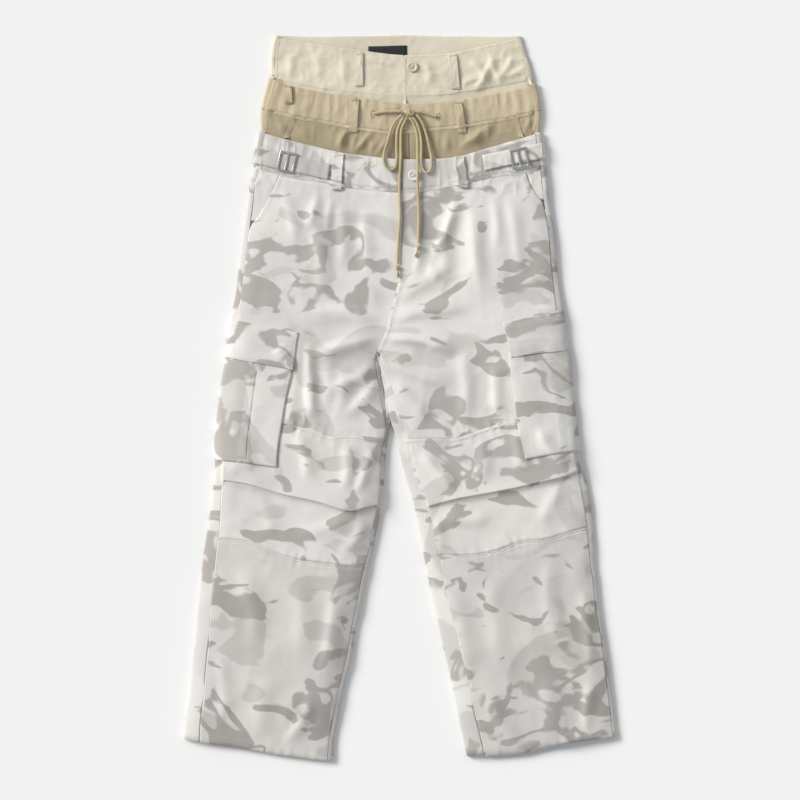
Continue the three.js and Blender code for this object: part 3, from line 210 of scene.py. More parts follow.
# Seams on the top of the camo layer, as points x, y
SEAMS = {
    "left_out": [
        (-242, 277), (-251, 189), (-263, 125), (-271, 64), (-281, -3), (-285, -67), (-286, -131),
        (-293, -227), (-302, -323), (-314, -451), (-321, -552),
    ],
    "right_out": [
        (230, 311), (234, 277), (244, 189), (252, 125), (260, 61), (265, -3), (275, -67), (287, -131),
        (297, -211), (306, -275), (313, -339), (328, -451), (342, -548),
    ],
    "left_in": [
        (-43, 64), (-38, 29), (-27, -22), (-27, -67), (-33, -131), (-42.5, -195), (-54.5, -259),
        (-69, -323), (-95.5, -451), (-117, -580),
    ],
    "right_in": [
        (-30, 66), (-20, 29), (-4, -22), (11, -67), (26, -131), (41, -171), (60, -259), (75, -323),
        (105, -451), (135, -574),
    ],
    "left_knee": [(-288, -33), (-232, -38), (-162, -46), (-114, -62), (-90, -61), (-26, -67)],
    "right_knee": [(270, -17), (222, -26), (158, -43), (94, -64), (62, -67), (6, -69)],
    "left_shin": [(-294, -226), (-242, -232), (-189, -253), (-130, -264), (-54, -269)],
    "right_shin": [(299, -208), (270, -216), (230, -227), (190, -230), (158, -243), (94, -253), (50, -248)],
    "fork": [(-34, 90), (-38.5, 72), (-35, 60), (-31, 40), (-25, 5), (-18.5, -40)],
    "rise": [(3, 330), (3, 230), (0, 190), (-6, 157), (-16, 125), (-21, 106), (-30, 85), (-38, 68)],
}

# More lines to sew along, left to right
EDGE_LINES = {
    "camo_waist": [(-222, 425), (-194, 416), (-162, 408), (-98, 394), (-66, 388), (-26, 383), (3, 381),
                   (62, 382), (94, 387), (126, 396), (158, 405), (190, 415), (220, 423)],
    "camo_band": [(-236, 369), (-205, 362), (-162, 352), (-114, 346), (-90, 340), (-50, 334), (3, 330),
                  (46, 333), (86, 342), (142, 354), (226, 367)],
    "tan_waist": [(-203, 509), (-173, 498), (-98, 485), (-34, 475), (18, 470), (94, 478), (158, 490),
                  (207, 500)],
    "tan_band": [(-207, 458), (-166, 448), (-120, 442), (-64, 430), (-2, 424), (91, 434), (158, 445),
                 (214, 456)],
    "cream_waist": [(-192, 575), (-90, 560), (-48, 554), (10, 547), (90, 554), (158, 570), (186, 576)],
    "cream_band": [(-203, 511), (-90, 493), (10, 484), (87, 490), (204, 511)],
    "left_hem": [(-330, -549), (-258, -560), (-194, -571), (-114, -580)],
    "right_hem": [(112, -574), (174, -571), (238, -560), (278, -550), (342, -544)],
    "left_slant": [(-187, 368), (-198, 346), (-228, 286)],
    "right_slant": [(198, 369), (206, 341), (220, 319)],
    "fly_stitch": [(40, 327), (40, 262), (37, 232), (28, 208), (14, 193), (4, 187)],
    "cream_fly": [(5, 545), (5, 468)],
    "cream_side_left": [(-195, 578), (-199, 545), (-202, 512)],
    "cream_side_right": [(186, 574), (195, 543), (204, 510), (207, 498)],
    "tan_side_left": [(-203, 509), (-215, 463), (-216, 426)],
    "tan_side_right": [(208, 498), (215.5, 460), (212, 424)],
    "left_flap": [(-280, 123), (-163, 103), (-173, 46), (-245, 55), (-285, 61)],
    "right_flap": [(262, 134), (163, 117), (168, 91), (182, 59), (254, 73), (266, 75)],
    "left_pocket": [(-176, 42), (-187, -45), (-192, -109), (-248, -103), (-298, -100)],
    "right_pocket": [(172, 56), (178, -5), (200, -97), (281, -85)],
}

# Raised seams: line, from and to this far beside it, height, the piece whose cloth it is
SEAM_ROLLS = [
    ("left_knee", -3.6, 2.4, 0.4, "camo_knee_left", 0.40, 1.0),
    ("right_knee", -3.6, 2.4, 0.4, "camo_knee_right", 0.0, 0.70),
    ("left_shin", -1.8, 1.6, 0.25, "camo_shin_left", 0.02, 0.98),
    ("right_shin", -1.8, 1.6, 0.25, "camo_shin_right", 0.02, 0.98),
    ("rise", -3.4, 2.6, 0.4, "camo_front_right", 0.0, 0.98),
    ("cream_side_left", -2.4, 2.4, 0.2, "cream_waistband_left", 0.0, 0.97),
    ("cream_side_right", -2.4, 2.4, 0.2, "cream_waistband_right", 0.0, 0.97),
    ("tan_side_left", -2.4, 2.4, 0.2, "tan_waistband_front", 0.0, 0.97),
    ("tan_side_right", -2.4, 2.4, 0.2, "tan_waistband_front", 0.0, 0.97),
    ("camo_band", -2.8, 2.6, 0.45, "camo_waistband_left", 0.01, 0.51),
    ("camo_band", -2.8, 2.6, 0.45, "camo_waistband_right", 0.51, 0.99),
    ("tan_band", -2.6, 2.6, 0.45, "tan_waistband_front", 0.01, 0.99),
    ("cream_band", -2.6, 2.6, 0.45, "cream_waistband_left", 0.01, 0.99),
    ("cream_fly", -2.4, 2.2, 0.3, "cream_waistband_left", 0.0, 1.0),
]
# The seam allowances that close the gaps under the leg seams: line, the piece whose cloth it is
ALLOWANCES = [
    ("left_out", "camo_back_left", 0.01, 0.99), ("right_out", "camo_back_right", 0.01, 0.99),
    ("left_in", "camo_back_left", 0.0, 0.99), ("right_in", "camo_back_right", 0.0, 0.99),
    ("fork", "camo_back_right", 0.0, 1.0),
]
ALLOWANCE_WIDE = 2.6
ALLOWANCE_SECTION = [(0.0, -2.0), (0.0, -0.35), (1.0, -0.35), (1.0, -2.0)]
SEAM_SECTION = [(0.0, -0.5), (0.0, 0.0), (0.22, 0.75), (0.5, 1.0), (0.78, 0.75), (1.0, 0.0), (1.0, -0.5)]

# Pleats of the cargo pockets: line from the top, how wide the folded cloth is (left of the line
# is positive), its height, its piece
PLEATS = [
    ("pleat_left", [(-232, 44), (-243, -45), (-247, -99)], -15, 1.0, "cargo_pocket_left"),
    ("pleat_right", [(232, 60), (245, -5), (256, -84)], 15, 1.0, "cargo_pocket_right"),
    ("tan_slant_left", [(-170, 448), (-178, 433), (-187, 416)], 8, 0.7, "tan_front_left"),
    ("tan_slant_right", [(187, 450), (191, 435), (197, 417)], -8, 0.7, "tan_front_right"),
]
PLEAT_SECTION = [(0.0, -0.6), (0.0, 0.85), (0.06, 1.0), (0.35, 0.75), (0.7, 0.2), (1.0, -0.6)]

# Rows of stitches: line, distance beside it, start and end as shares of it
SEWN = {
    "leg_stitches": [
        ("left_knee", -2.0, 0.44, 0.99), ("left_knee", -5.3, 0.44, 0.99),
        ("right_knee", -2.0, 0.02, 0.66), ("right_knee", -5.3, 0.02, 0.66),
        ("left_shin", -2.0, 0.04, 0.97), ("left_shin", -5.3, 0.04, 0.97),
        ("right_shin", -2.0, 0.03, 0.97), ("right_shin", -5.3, 0.03, 0.97),
        ("left_out", 2.6, 0.02, 0.17), ("left_out", 2.6, 0.47, 0.99),
        ("right_out", -2.6, 0.06, 0.18), ("right_out", -2.6, 0.47, 0.99),
        ("left_in", -2.4, 0.0, 0.99), ("left_in", -5.6, 0.0, 0.99),
        ("right_in", 2.4, 0.0, 0.99), ("right_in", 5.6, 0.0, 0.99),
        ("left_hem", 14, 0.01, 0.99), ("right_hem", 14, 0.01, 0.99),
    ],
    "seat_stitches": [
        ("rise", 2.6, 0.5, 0.97), ("rise", 5.6, 0.5, 0.97),
        ("fly_stitch", 0, 0, 1), ("fly_stitch", -3.2, 0, 1),
        ("camo_band", 2.6, 0.02, 0.98), ("camo_band", -2.6, 0.08, 0.92), ("camo_waist", -2.6, 0.0, 1.0),
        ("left_slant", 2.2, 0, 1), ("left_slant", 5.2, 0, 0.96),
        ("right_slant", -2.2, 0, 1), ("right_slant", -5.2, 0, 0.96),
    ],
    "pocket_stitches": [
        ("left_flap", -2.8, 0, 1), ("left_flap", -7.2, 0, 1),
        ("right_flap", 2.8, 0, 1), ("right_flap", 7.2, 0, 1),
        ("left_pocket", -2.8, 0, 1), ("right_pocket", 2.8, 0, 1),
    ],
    "tan_stitches": [
        ("tan_waist", -3.0, 0, 1), ("tan_band", 2.6, 0, 1), ("tan_band", -2.4, 0, 1),
    ],
    "cream_stitches": [
        ("cream_waist", -2.8, 0, 1), ("cream_band", 2.4, 0, 1), ("cream_band", -2.4, 0, 1),
        ("cream_fly", 3.0, 0, 1),
    ],
}
CORNERED = ("left_flap", "right_flap", "left_pocket", "right_pocket", "cream_fly")

# Bars of close stitches: middle x, y, turn in degrees, length
BARS = {
    "camo_bars": [
        (-99, 388.5, 4, 13), (-103, 335.5, 4, 13), (93, 384.5, -6, 12), (101, 338.5, -6, 12),
        (-231, 281, 20, 14), (222, 316, -60, 12), (12, 196, 40, 9), (5, 186, 60, 8),
        (-166, 101, 100, 7), (-175, 49, 95, 7), (166, 113, 80, 7), (183, 62, 70, 7),
    ],
    "tan_bars": [
        (-183, 496.5, -12, 10), (-180, 472.5, -12, 10), (-75, 475.5, -4, 11), (-76, 426.5, -4, 11),
        (89, 471.5, 8, 10), (99, 426.5, 8, 10),
    ],
    "cream_bars": [(-67, 549.5, 0, 9), (-68, 500.5, 0, 9), (81, 547.5, 6, 11), (87, 496.5, 6, 11)],
}

# Worked buttonholes: middle x, y, half width, half height
BUTTONHOLES = {"tan_bars": [(-45.5, 454, 2.6, 6.0), (59.5, 449, 2.6, 6.0)]}

# Corners of the pocket bags that show in the slanted openings: left, right, foot, top, height
BAG_CORNERS = {"left": (-246, -226, 266, 290, 4.0), "right": (217, 236, 300, 324, 4.4)}

# Drawstring: each route from its exit to its far end
CORD = 4.4
CORD_STEP = 1.5
CORD_ROUTES = {
    "cord_lead_left": [(-43, 454, 11.9), (-30, 456.5, 12.1), (-12, 457.5, 13.2), (1, 457.5, 14.6)],
    "cord_lead_right": [(57, 449, 11.5), (46, 451.5, 12.1), (34, 455.5, 13.4), (24.6, 457.5, 14.6)],
    "cord_bow_left": [
        (1.2, 451.5, 14.4), (-6, 445, 13.6), (-13, 434, 12.8), (-20, 412, 11.6), (-26, 394, 12.2),
        (-27.5, 381, 12.9), (-24, 369, 12.9), (-16, 363.5, 12.9), (-9, 368, 12.9), (-6.5, 382, 12.9),
        (-6.6, 404, 11.8), (-4.6, 428, 12.2), (0.5, 441, 13.2), (4.6, 447.2, 14),
    ],
    "cord_bow_right": [
        (19.6, 447.4, 14), (26, 438, 13.2), (31.5, 422, 12), (33.5, 400, 12), (32.6, 380, 13.1),
        (34.5, 366, 13.6), (41, 359, 13.6), (47.5, 364, 13.6), (49, 381, 13.1), (45.5, 404, 12),
        (40.5, 424, 12.2), (34, 440, 13.2), (24.8, 451.5, 14.4),
    ],
    "cord_end_left": [
        (9.6, 447, 14), (6.6, 441, 13.2), (2, 430, 12.2), (0.4, 410, 11.8), (0, 384, 12.7),
        (-1.4, 350, 12.7), (-2.4, 322, 12.4), (-3.2, 285, 11.8), (-4.8, 245, 11.4), (-6, 213.6, 11.4),
    ],
    "cord_end_right": [
        (14.8, 447, 14), (19.4, 440, 13.4), (25, 428, 12.2), (27, 410, 11.9), (27, 386, 13),
        (27.2, 366, 16.2), (27.2, 344, 16.2), (27.2, 324, 13.2), (27.2, 285, 12.6), (27.2, 246.6, 12.4),
    ],
}


def ease(value, low, high):
    t = np.clip((value - low) / (high - low), 0.0, 1.0)
    return t * t * (3 - 2 * t)


def curve_through(start, middle, end, steps=14):
    """Points of the parabola from start to end that passes through middle halfway."""
    start, middle, end = (np.array(p, float) for p in (start, middle, end))
    control = 2 * middle - (start + end) / 2
    t = np.linspace(0, 1, steps + 1)[:, None]
    return (1 - t) ** 2 * start + 2 * t * (1 - t) * control + t * t * end


def measure(points, x, y):
    """Signed distance from a line of points (left of it is positive), and the length along it."""
    points = np.array(points, float)
    best = np.full(x.shape, 1e9)
    side = np.ones(x.shape)
    along = np.zeros(x.shape)
    run = 0.0
    for (x0, y0), (x1, y1) in zip(points[:-1], points[1:]):
        dx, dy = x1 - x0, y1 - y0
        length = math.hypot(dx, dy)
        t = np.clip(((x - x0) * dx + (y - y0) * dy) / length**2, 0, 1)
        off = np.hypot(x - x0 - t * dx, y - y0 - t * dy)
        near = off < best
        best = np.where(near, off, best)
        side = np.where(near, np.sign(dx * (y - y0) - dy * (x - x0)), side)
        along = np.where(near, run + t * length, along)
        run += length
    return best * side, along, run


def fold_height(folds, x, y):
    """The summed height of a table of folds at x, y."""
    height = np.zeros(x.shape)
    for start, middle, end, half, high, far in folds:
        line = curve_through(start, middle, end)
        low = line.min(0) - 3 * half
        top = line.max(0) + 3 * half
        near = (x > low[0]) & (x < top[0]) & (y > low[1]) & (y < top[1])
        if not near.any():
            continue
        off, along, run = measure(line, x[near], y[near])
        width = np.where(off > 0, half, half * far)
        share = along / run
        ends = ease(share, 0, 0.3) * ease(share, 1, 0.65)
        height[near] += high * ends * np.exp(-((off / width) ** 2))
    return height


def swell(x, y):
    height = np.zeros(x.shape)
    for wave, turn, high, start in SWELL:
        angle = math.radians(turn)
        across = x * math.cos(angle) + y * math.sin(angle)
        bend = 0.8 * np.sin((x * math.sin(angle) - y * math.cos(angle)) / (wave * 0.45) + start * 2)
        height += high * np.sin(2 * math.pi * across / wave + start + bend)
    return height


# Puckers along seams: which seam, wave length, height, how far they reach, from and to this x
PUCKERS = [
    ("left_out", 17, 0.45, 13, -400, 400), ("right_out", 16, 0.5, 13, -400, 400),
    ("left_in", 18, 0.4, 12, -400, 400), ("right_in", 15, 0.55, 12, -400, 400),
    ("left_knee", 11, 1.0, 14, -184, 0), ("right_knee", 11, 1.0, 14, 0, 182),
    ("left_shin", 12, 0.6, 12, -400, 0), ("right_shin", 11, 0.65, 12, 0, 400),
    ("rise", 14, 0.4, 12, -400, 400), ("left_hem", 13, 0.6, 16, -400, 0), ("right_hem", 13, 0.5, 16, 0, 400),
]
TAN_PUCKERS = [("tan_band", 10, 0.6, 9, -400, 400), ("tan_waist", 11, 0.5, 11, -400, 400)]
CREAM_PUCKERS = [("cream_band", 7.5, 0.5, 8, -400, 400), ("cream_waist", 8.5, 0.4, 8, -400, 400)]


def puckers(table, x, y):
    height = np.zeros(x.shape)
    for name, wave, high, reach, left, right in table:
        line = np.array(SEAMS[name] if name in SEAMS else EDGE_LINES[name], float)
        low, top = line.min(0) - 4 * reach, line.max(0) + 4 * reach
        near = (x > max(low[0], left)) & (x < min(top[0], right)) & (y > low[1]) & (y < top[1])
        if not near.any():
            continue
        off, along, _ = measure(line, x[near], y[near])
        strength = 0.3 + 1.6 * grain(along, off * 0.3, wave * 2.8, 67)
        ends = ease(x[near], left, left + 12) * ease(x[near], right, right - 12)
        wavy = 2 * grain(along, off * 0.3, wave * 0.62, 61) - 1
        wavy = high * strength * wavy * np.exp(-np.abs(off) / reach)
        height[near] += wavy * ends
    return height


def grain(x, y, size, seed):
    """Smooth random values from 0 to 1 over a grid of this size, the same at every run."""
    values = np.random.default_rng(seed).random((128, 128))
    u, v = x / size + 500.0, y / size + 500.0
    i, j = np.floor(u).astype(int), np.floor(v).astype(int)
    s, t = u - i, v - j
    s, t = s * s * (3 - 2 * s), t * t * (3 - 2 * t)
    i0, i1, j0, j1 = i % 128, (i + 1) % 128, j % 128, (j + 1) % 128
    low = values[i0, j0] * (1 - s) + values[i1, j0] * s
    high = values[i0, j1] * (1 - s) + values[i1, j1] * s
    return low * (1 - t) + high * t


def creases(x, y, size, seed, thin=3.0):
    """Thin raised lines that wander, from 0 to 1."""
    warp = size * 0.5
    u = x + warp * (grain(x, y, size, seed + 1) - 0.5)
    v = y + warp * (grain(x, y, size, seed + 2) - 0.5)
    return (1 - np.abs(2 * grain(u, v, size, seed) - 1)) ** thin


def silhouette(node, pick):
    """The edge line of a node: for each y the least or greatest x, as two arrays for interp."""
    mesh = frame["nodes"][node].data
    co = points_of(mesh)
    ends = np.array([e.vertices[:] for e in mesh.edges])
    a, b = co[ends[:, 0]], co[ends[:, 1]]
    t = np.linspace(0, 1, 16)[:, None, None]
    points = (a * (1 - t) + b * t).reshape(-1, 3)
    step = 8.0
    bins = np.floor(points[:, 1] / step).astype(int)
    ys, xs = [], []
    for index in np.unique(bins):
        ys.append((index + 0.5) * step)
        xs.append(pick(points[bins == index, 0]))
    return np.array(ys), np.array(xs)


EDGES = {}


def puff(x, y):
    """The fullness of the legs and seat: none at the edges, most across the middle."""
    if not EDGES:
        EDGES["out_left"] = silhouette("camo_back_left", np.min)
        EDGES["in_left"] = silhouette("camo_back_left", np.max)
        EDGES["out_right"] = silhouette("camo_back_right", np.max)
        EDGES["in_right"] = silhouette("camo_back_right", np.min)
    rounded = lambda d: 1 - (1 - np.clip(d / PUFF_RUN, 0, 1)) ** 2
    out = np.minimum(x - np.interp(y, *EDGES["out_left"]), np.interp(y, *EDGES["out_right"]) - x)
    left, right = np.interp(y, *EDGES["in_left"]), np.interp(y, *EDGES["in_right"])
    inner = np.where(x < (left + right) / 2, left - x, x - right)
    fork = ease(y, 96, 20)
    full = PUFF_WAIST + (PUFF_LEG - PUFF_WAIST) * ease(y, 345, 230)
    full = full * (1 - 0.45 * ease(y, -490, -575))
    return full * rounded(out) * (1 - fork + fork * rounded(np.maximum(inner, 0)))


def lips(x, y):
    """The knee's cloth bellies out over its tuck."""
    height = np.zeros(x.shape)
    for line, high, reach in LIPS:
        off, along, run = measure(line, x, y)
        off = off * (1 if line[0][0] > line[-1][0] else -1) * -1
        share = along / run
        ends = 0.25 + 0.75 * ease(share, 0, 0.2) * ease(share, 1, 0.8)
        height += high * ends * np.where(off > 0, np.exp(-off / reach), np.exp(-((off / 5) ** 2)))
    return height


def waist_line(x, low, high, half):
    return low + high * np.abs(x / half) ** 1.8


def top_height(layer, x, y):
    """How far the top of a layer is raised by its folds."""
    if layer == "camo":
        calm = ease(y, 345, 300)
        fly = ease(np.hypot(x - 10, (y - 330) / 3), 10, 40)
        soft = RELIEF * fold_height(CAMO_FOLDS, x, y) + swell(x, y) + lips(x, y)
        small = calm * (puckers(PUCKERS, x, y) + 1.3 * creases(x, y, 74, 7, 2.0) + 0.3 * creases(x, y, 28, 17, 2.0))
        band = (1 - calm) * (1.2 * creases(x * 1.6, y, 22, 27, 2.0) + 0.5 * creases(x, y * 1.5, 16, 29, 2.0))
        strap = ease(np.hypot(x + 190, (y - 378) * 1.6), 70, 40)
        band += (1 - calm) * strap * 1.1 * creases(x * 2.2, y * 0.7, 20, 31, 2.0)
        height = puff(x, y) + (0.25 + 0.75 * fly) * (soft + small + band) + 0.3
        return np.maximum(height, -0.25)
    if layer == "tan":
        knot = ease(np.hypot(x - 8, (y - 400) / 2), 12, 44)
        shown = ease(y - waist_line(x, 381, 45, 225), 0, 22)
        rough = 1.3 * creases(x * 1.5, y * 0.8, 20, 37, 2.0) + 0.5 * creases(x, y, 11, 41, 2.0)
        rough = rough + puckers(TAN_PUCKERS, x, y) + 0.3
        soft = RELIEF * fold_height(TAN_FOLDS, x, y)
    else:
        knot = 1.0
        shown = ease(y - waist_line(x, 472, 38, 215), 0, 12)
        rough = 1.2 * creases(x, y, 19, 47, 2.0) + 0.5 * creases(x, y, 9, 51, 2.0)
        rough = rough + puckers(CREAM_PUCKERS, x, y) + 0.3
        soft = RELIEF * fold_height(CREAM_FOLDS, x, y)
    return shown * (0.15 + 0.85 * knot) * (soft + rough + 0.3 * swell(x, y) + 0.2)


def wander(x, y):
    """A small sideways unevenness, shared by all pieces, so that edges aren't ruled."""
    dx = 0.9 * np.sin(y / 37 + 0.4) + 0.5 * np.sin(y / 14.5 + x / 90)
    dy = 0.8 * np.sin(x / 41 + 1.3) + 0.4 * np.sin(x / 16 + y / 80)
    return dx, dy


def new_object(name, mesh):
    obj = bpy.data.objects.new(name, mesh)
    bpy.context.scene.collection.objects.link(obj)
    return obj


def finer_mesh(node, levels):
    """A smooth copy of a node's mesh: its triangles paired, its rims kept, then subdivided."""
    bm = bmesh.new()
    bm.from_mesh(frame["nodes"][node].data)
    bmesh.ops.remove_doubles(bm, verts=bm.verts, dist=2e-6)
    longest = {face: max(face.edges, key=lambda e: e.calc_length()) for face in bm.faces}
    diagonals = [
        e for e in bm.edges
        if len(e.link_faces) == 2 and all(longest[f] == e for f in e.link_faces)
        and e.calc_face_angle(3) < 0.6
    ]
    bmesh.ops.dissolve_edges(bm, edges=diagonals, use_verts=False)
    crease = bm.edges.layers.float.new("crease_edge")
    for edge in bm.edges:
        if edge.calc_face_angle(3) > 1.1:
            edge[crease] = 1.0
    mesh = bpy.data.meshes.new(node + "_cloth")
    bm.to_mesh(mesh)
    bm.free()
    obj = new_object(node + "_cloth", mesh)
    subdivide = obj.modifiers.new("smooth", "SUBSURF")
    subdivide.levels = levels
    subdivide.render_levels = levels
    evaluated = obj.evaluated_get(bpy.context.evaluated_depsgraph_get())
    finished = bpy.data.meshes.new_from_object(evaluated)
    finished.name = node + "_cloth"
    obj.modifiers.clear()
    obj.data = finished
    bpy.data.meshes.remove(mesh)
    return obj


def shade(mesh, sharp=50):
    mesh.shade_smooth()
    mesh.set_sharp_from_angle(angle=math.radians(sharp))


def points_of(mesh):
    co = np.empty(len(mesh.vertices) * 3, np.float32)
    mesh.vertices.foreach_get("co", co)
    return co.reshape(-1, 3).astype(float) / MM


def set_points(mesh, co):
    mesh.vertices.foreach_set("co", (co * MM).astype(np.float32).ravel())
    mesh.update()


def raised(layer, x, y, z):
    """Where a point of a layer goes once its folds are in: all pieces share these."""
    low, high = TURN[layer]
    top = ease(z, low, high)
    side = top_height(layer, x, y)
    under = fold_height(BACK_FOLDS, x, y) if layer == "camo" else 0.0
    dx, dy = wander(x, y)
    return x + dx, y + dy, z + top * side + (1 - top) * under


PRESSED = {
    "cargo_flap_left": "left_flap", "cargo_flap_right": "right_flap",
    "cargo_pocket_left": "left_pocket", "cargo_pocket_right": "right_pocket",
}
PRESSED_BY = 0.9
PRESSED_REACH = 5.0


def pressed(node, co, layer):
    """How far the sewn edge of a pocket or flap is pressed down."""
    if node not in PRESSED:
        return 0.0
    x, y, z = co.T
    off, _, _ = measure(EDGE_LINES[PRESSED[node]], x, y)
    return PRESSED_BY * np.exp(-((off / PRESSED_REACH) ** 2)) * ease(z, *TURN[layer])


def cloth(node, layer, levels, colour):
    """The finished cloth of one cut piece, on its solid's form."""
    obj = finer_mesh(node, levels)
    co = points_of(obj.data)
    x, y, z = raised(layer, co[:, 0], co[:, 1], co[:, 2])
    z = z - pressed(node, co, layer)
    set_points(obj.data, np.stack([x, y, z], 1))
    shade(obj.data)
    obj.data.materials.append(colour)
    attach(obj, "root")
    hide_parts(node)
    return obj


class Nodes:
    """Short calls for building a node tree."""

    def __init__(self, tree):
        self.tree = tree

    def add(self, kind, inputs=None, **values):
        node = self.tree.nodes.new(kind)
        for name, value in values.items():
            setattr(node, name, value)
        for name, value in (inputs or {}).items():
            self.put(node, name, value)
        return node

    def put(self, node, name, value):
        socket = node.inputs[name]
        if isinstance(value, bpy.types.NodeSocket):
            self.tree.links.new(value, socket)
        else:
            socket.default_value = value

    def math(self, operation, a, b=0.0, clamp=False):
        node = self.add("ShaderNodeMath", {0: a, 1: b}, operation=operation, use_clamp=clamp)
        return node.outputs[0]

    def noise(self, vector, scale, detail=2.0, roughness=0.5, distortion=0.0):
        node = self.add("ShaderNodeTexNoise", {
            "Vector": vector, "Scale": scale, "Detail": detail, "Roughness": roughness,
            "Distortion": distortion,
        })
        return node.outputs["Fac"]

    def ramp(self, value, low, high, start=0.0, end=1.0):
        node = self.add("ShaderNodeMapRange", {
            "Value": value, "From Min": low, "From Max": high, "To Min": start, "To Max": end,
        }, interpolation_type="SMOOTHSTEP")
        return node.outputs["Result"]

    def blend(self, share, a, b, mode="MIX"):
        node = self.add("ShaderNodeMix", data_type="RGBA", blend_type=mode)
        self.put(node, "Factor", share)
        for index, value in ((6, a), (7, b)):
            if isinstance(value, bpy.types.NodeSocket):
                self.tree.links.new(value, node.inputs[index])
            else:
                node.inputs[index].default_value = value
        return node.outputs[2]


def linear(hex_colour):
    """A hex colour as the linear values that shaders take."""
    parts = [int(hex_colour[i:i + 2], 16) / 255 for i in (1, 3, 5)]
    return [c / 12.92 if c <= 0.04045 else ((c + 0.055) / 1.055) ** 2.4 for c in parts] + [1.0]


def group(name, inputs, outputs):
    """An empty shader group with named sockets; gives its tree, builder and group input."""
    tree = bpy.data.node_groups.new(name, "ShaderNodeTree")
    for socket, kind, value in inputs:
        made = tree.interface.new_socket(socket, in_out="INPUT", socket_type=kind)
        if value is not None:
            made.default_value = value
    for socket, kind in outputs:
        tree.interface.new_socket(socket, in_out="OUTPUT", socket_type=kind)
    build = Nodes(tree)
    return tree, build, build.add("NodeGroupInput"), build.add("NodeGroupOutput")


def twill_group():
    """The weave of twill cloth: fine diagonal ribs with slubs, as a height and a shade."""
    tree, n, source, out = group("twill", [
        ("Vector", "NodeSocketVector", None), ("Rib width", "NodeSocketFloat", 0.0009),
        ("Slub", "NodeSocketFloat", 0.5),
    ], [("Height", "NodeSocketFloat"), ("Shade", "NodeSocketFloat")])
    axes = n.add("ShaderNodeSeparateXYZ", {"Vector": source.outputs["Vector"]})
    across = n.math("ADD", axes.outputs["X"], n.math("MULTIPLY", axes.outputs["Y"], 0.8))
    wobble = n.noise(source.outputs["Vector"], 260, 1.0)
    line = n.math("DIVIDE", across, source.outputs["Rib width"])
    line = n.math("ADD", line, n.math("MULTIPLY", wobble, 1.2))
    rib = n.math("SINE", n.math("MULTIPLY", line, 2 * math.pi))
    thread = n.noise(source.outputs["Vector"], 900, 2.0, 0.6)
    slub = n.noise(source.outputs["Vector"], 70, 3.0, 0.7)
    height = n.math("ADD", n.math("MULTIPLY", rib, 0.35), thread)
    height = n.math("ADD", height, n.math("MULTIPLY", slub, source.outputs["Slub"]))
    n.put(out, "Height", height)
    n.put(out, "Shade", n.ramp(n.math("ADD", n.math("MULTIPLY", thread, 0.6), n.math("MULTIPLY", slub, 0.4)), 0.3, 0.7))
    return tree


def crumple_group():
    """Small soft creases of washed cotton, as a height."""
    tree, n, source, out = group("crumple", [
        ("Vector", "NodeSocketVector", None), ("Scale", "NodeSocketFloat", 16.0),
    ], [("Height", "NodeSocketFloat")])
    warp = n.add("ShaderNodeTexNoise", {"Vector": source.outputs["Vector"], "Scale": 9.0, "Detail": 1.0})
    moved = n.add("ShaderNodeVectorMath", {0: warp.outputs["Color"], 1: (0.06, 0.06, 0.0)}, operation="MULTIPLY")
    place = n.add("ShaderNodeVectorMath", {0: source.outputs["Vector"], 1: moved.outputs[0]}, operation="ADD")
    broad = n.noise(place.outputs[0], source.outputs["Scale"], 2.0, 0.45)
    crease = n.math("ABSOLUTE", n.math("SUBTRACT", n.noise(place.outputs[0], n.math("MULTIPLY", source.outputs["Scale"], 1.7), 1.0), 0.5))
    sharp = n.ramp(crease, 0.0, 0.3)
    n.put(out, "Height", n.math("ADD", broad, n.math("MULTIPLY", sharp, 0.18)))
    return tree


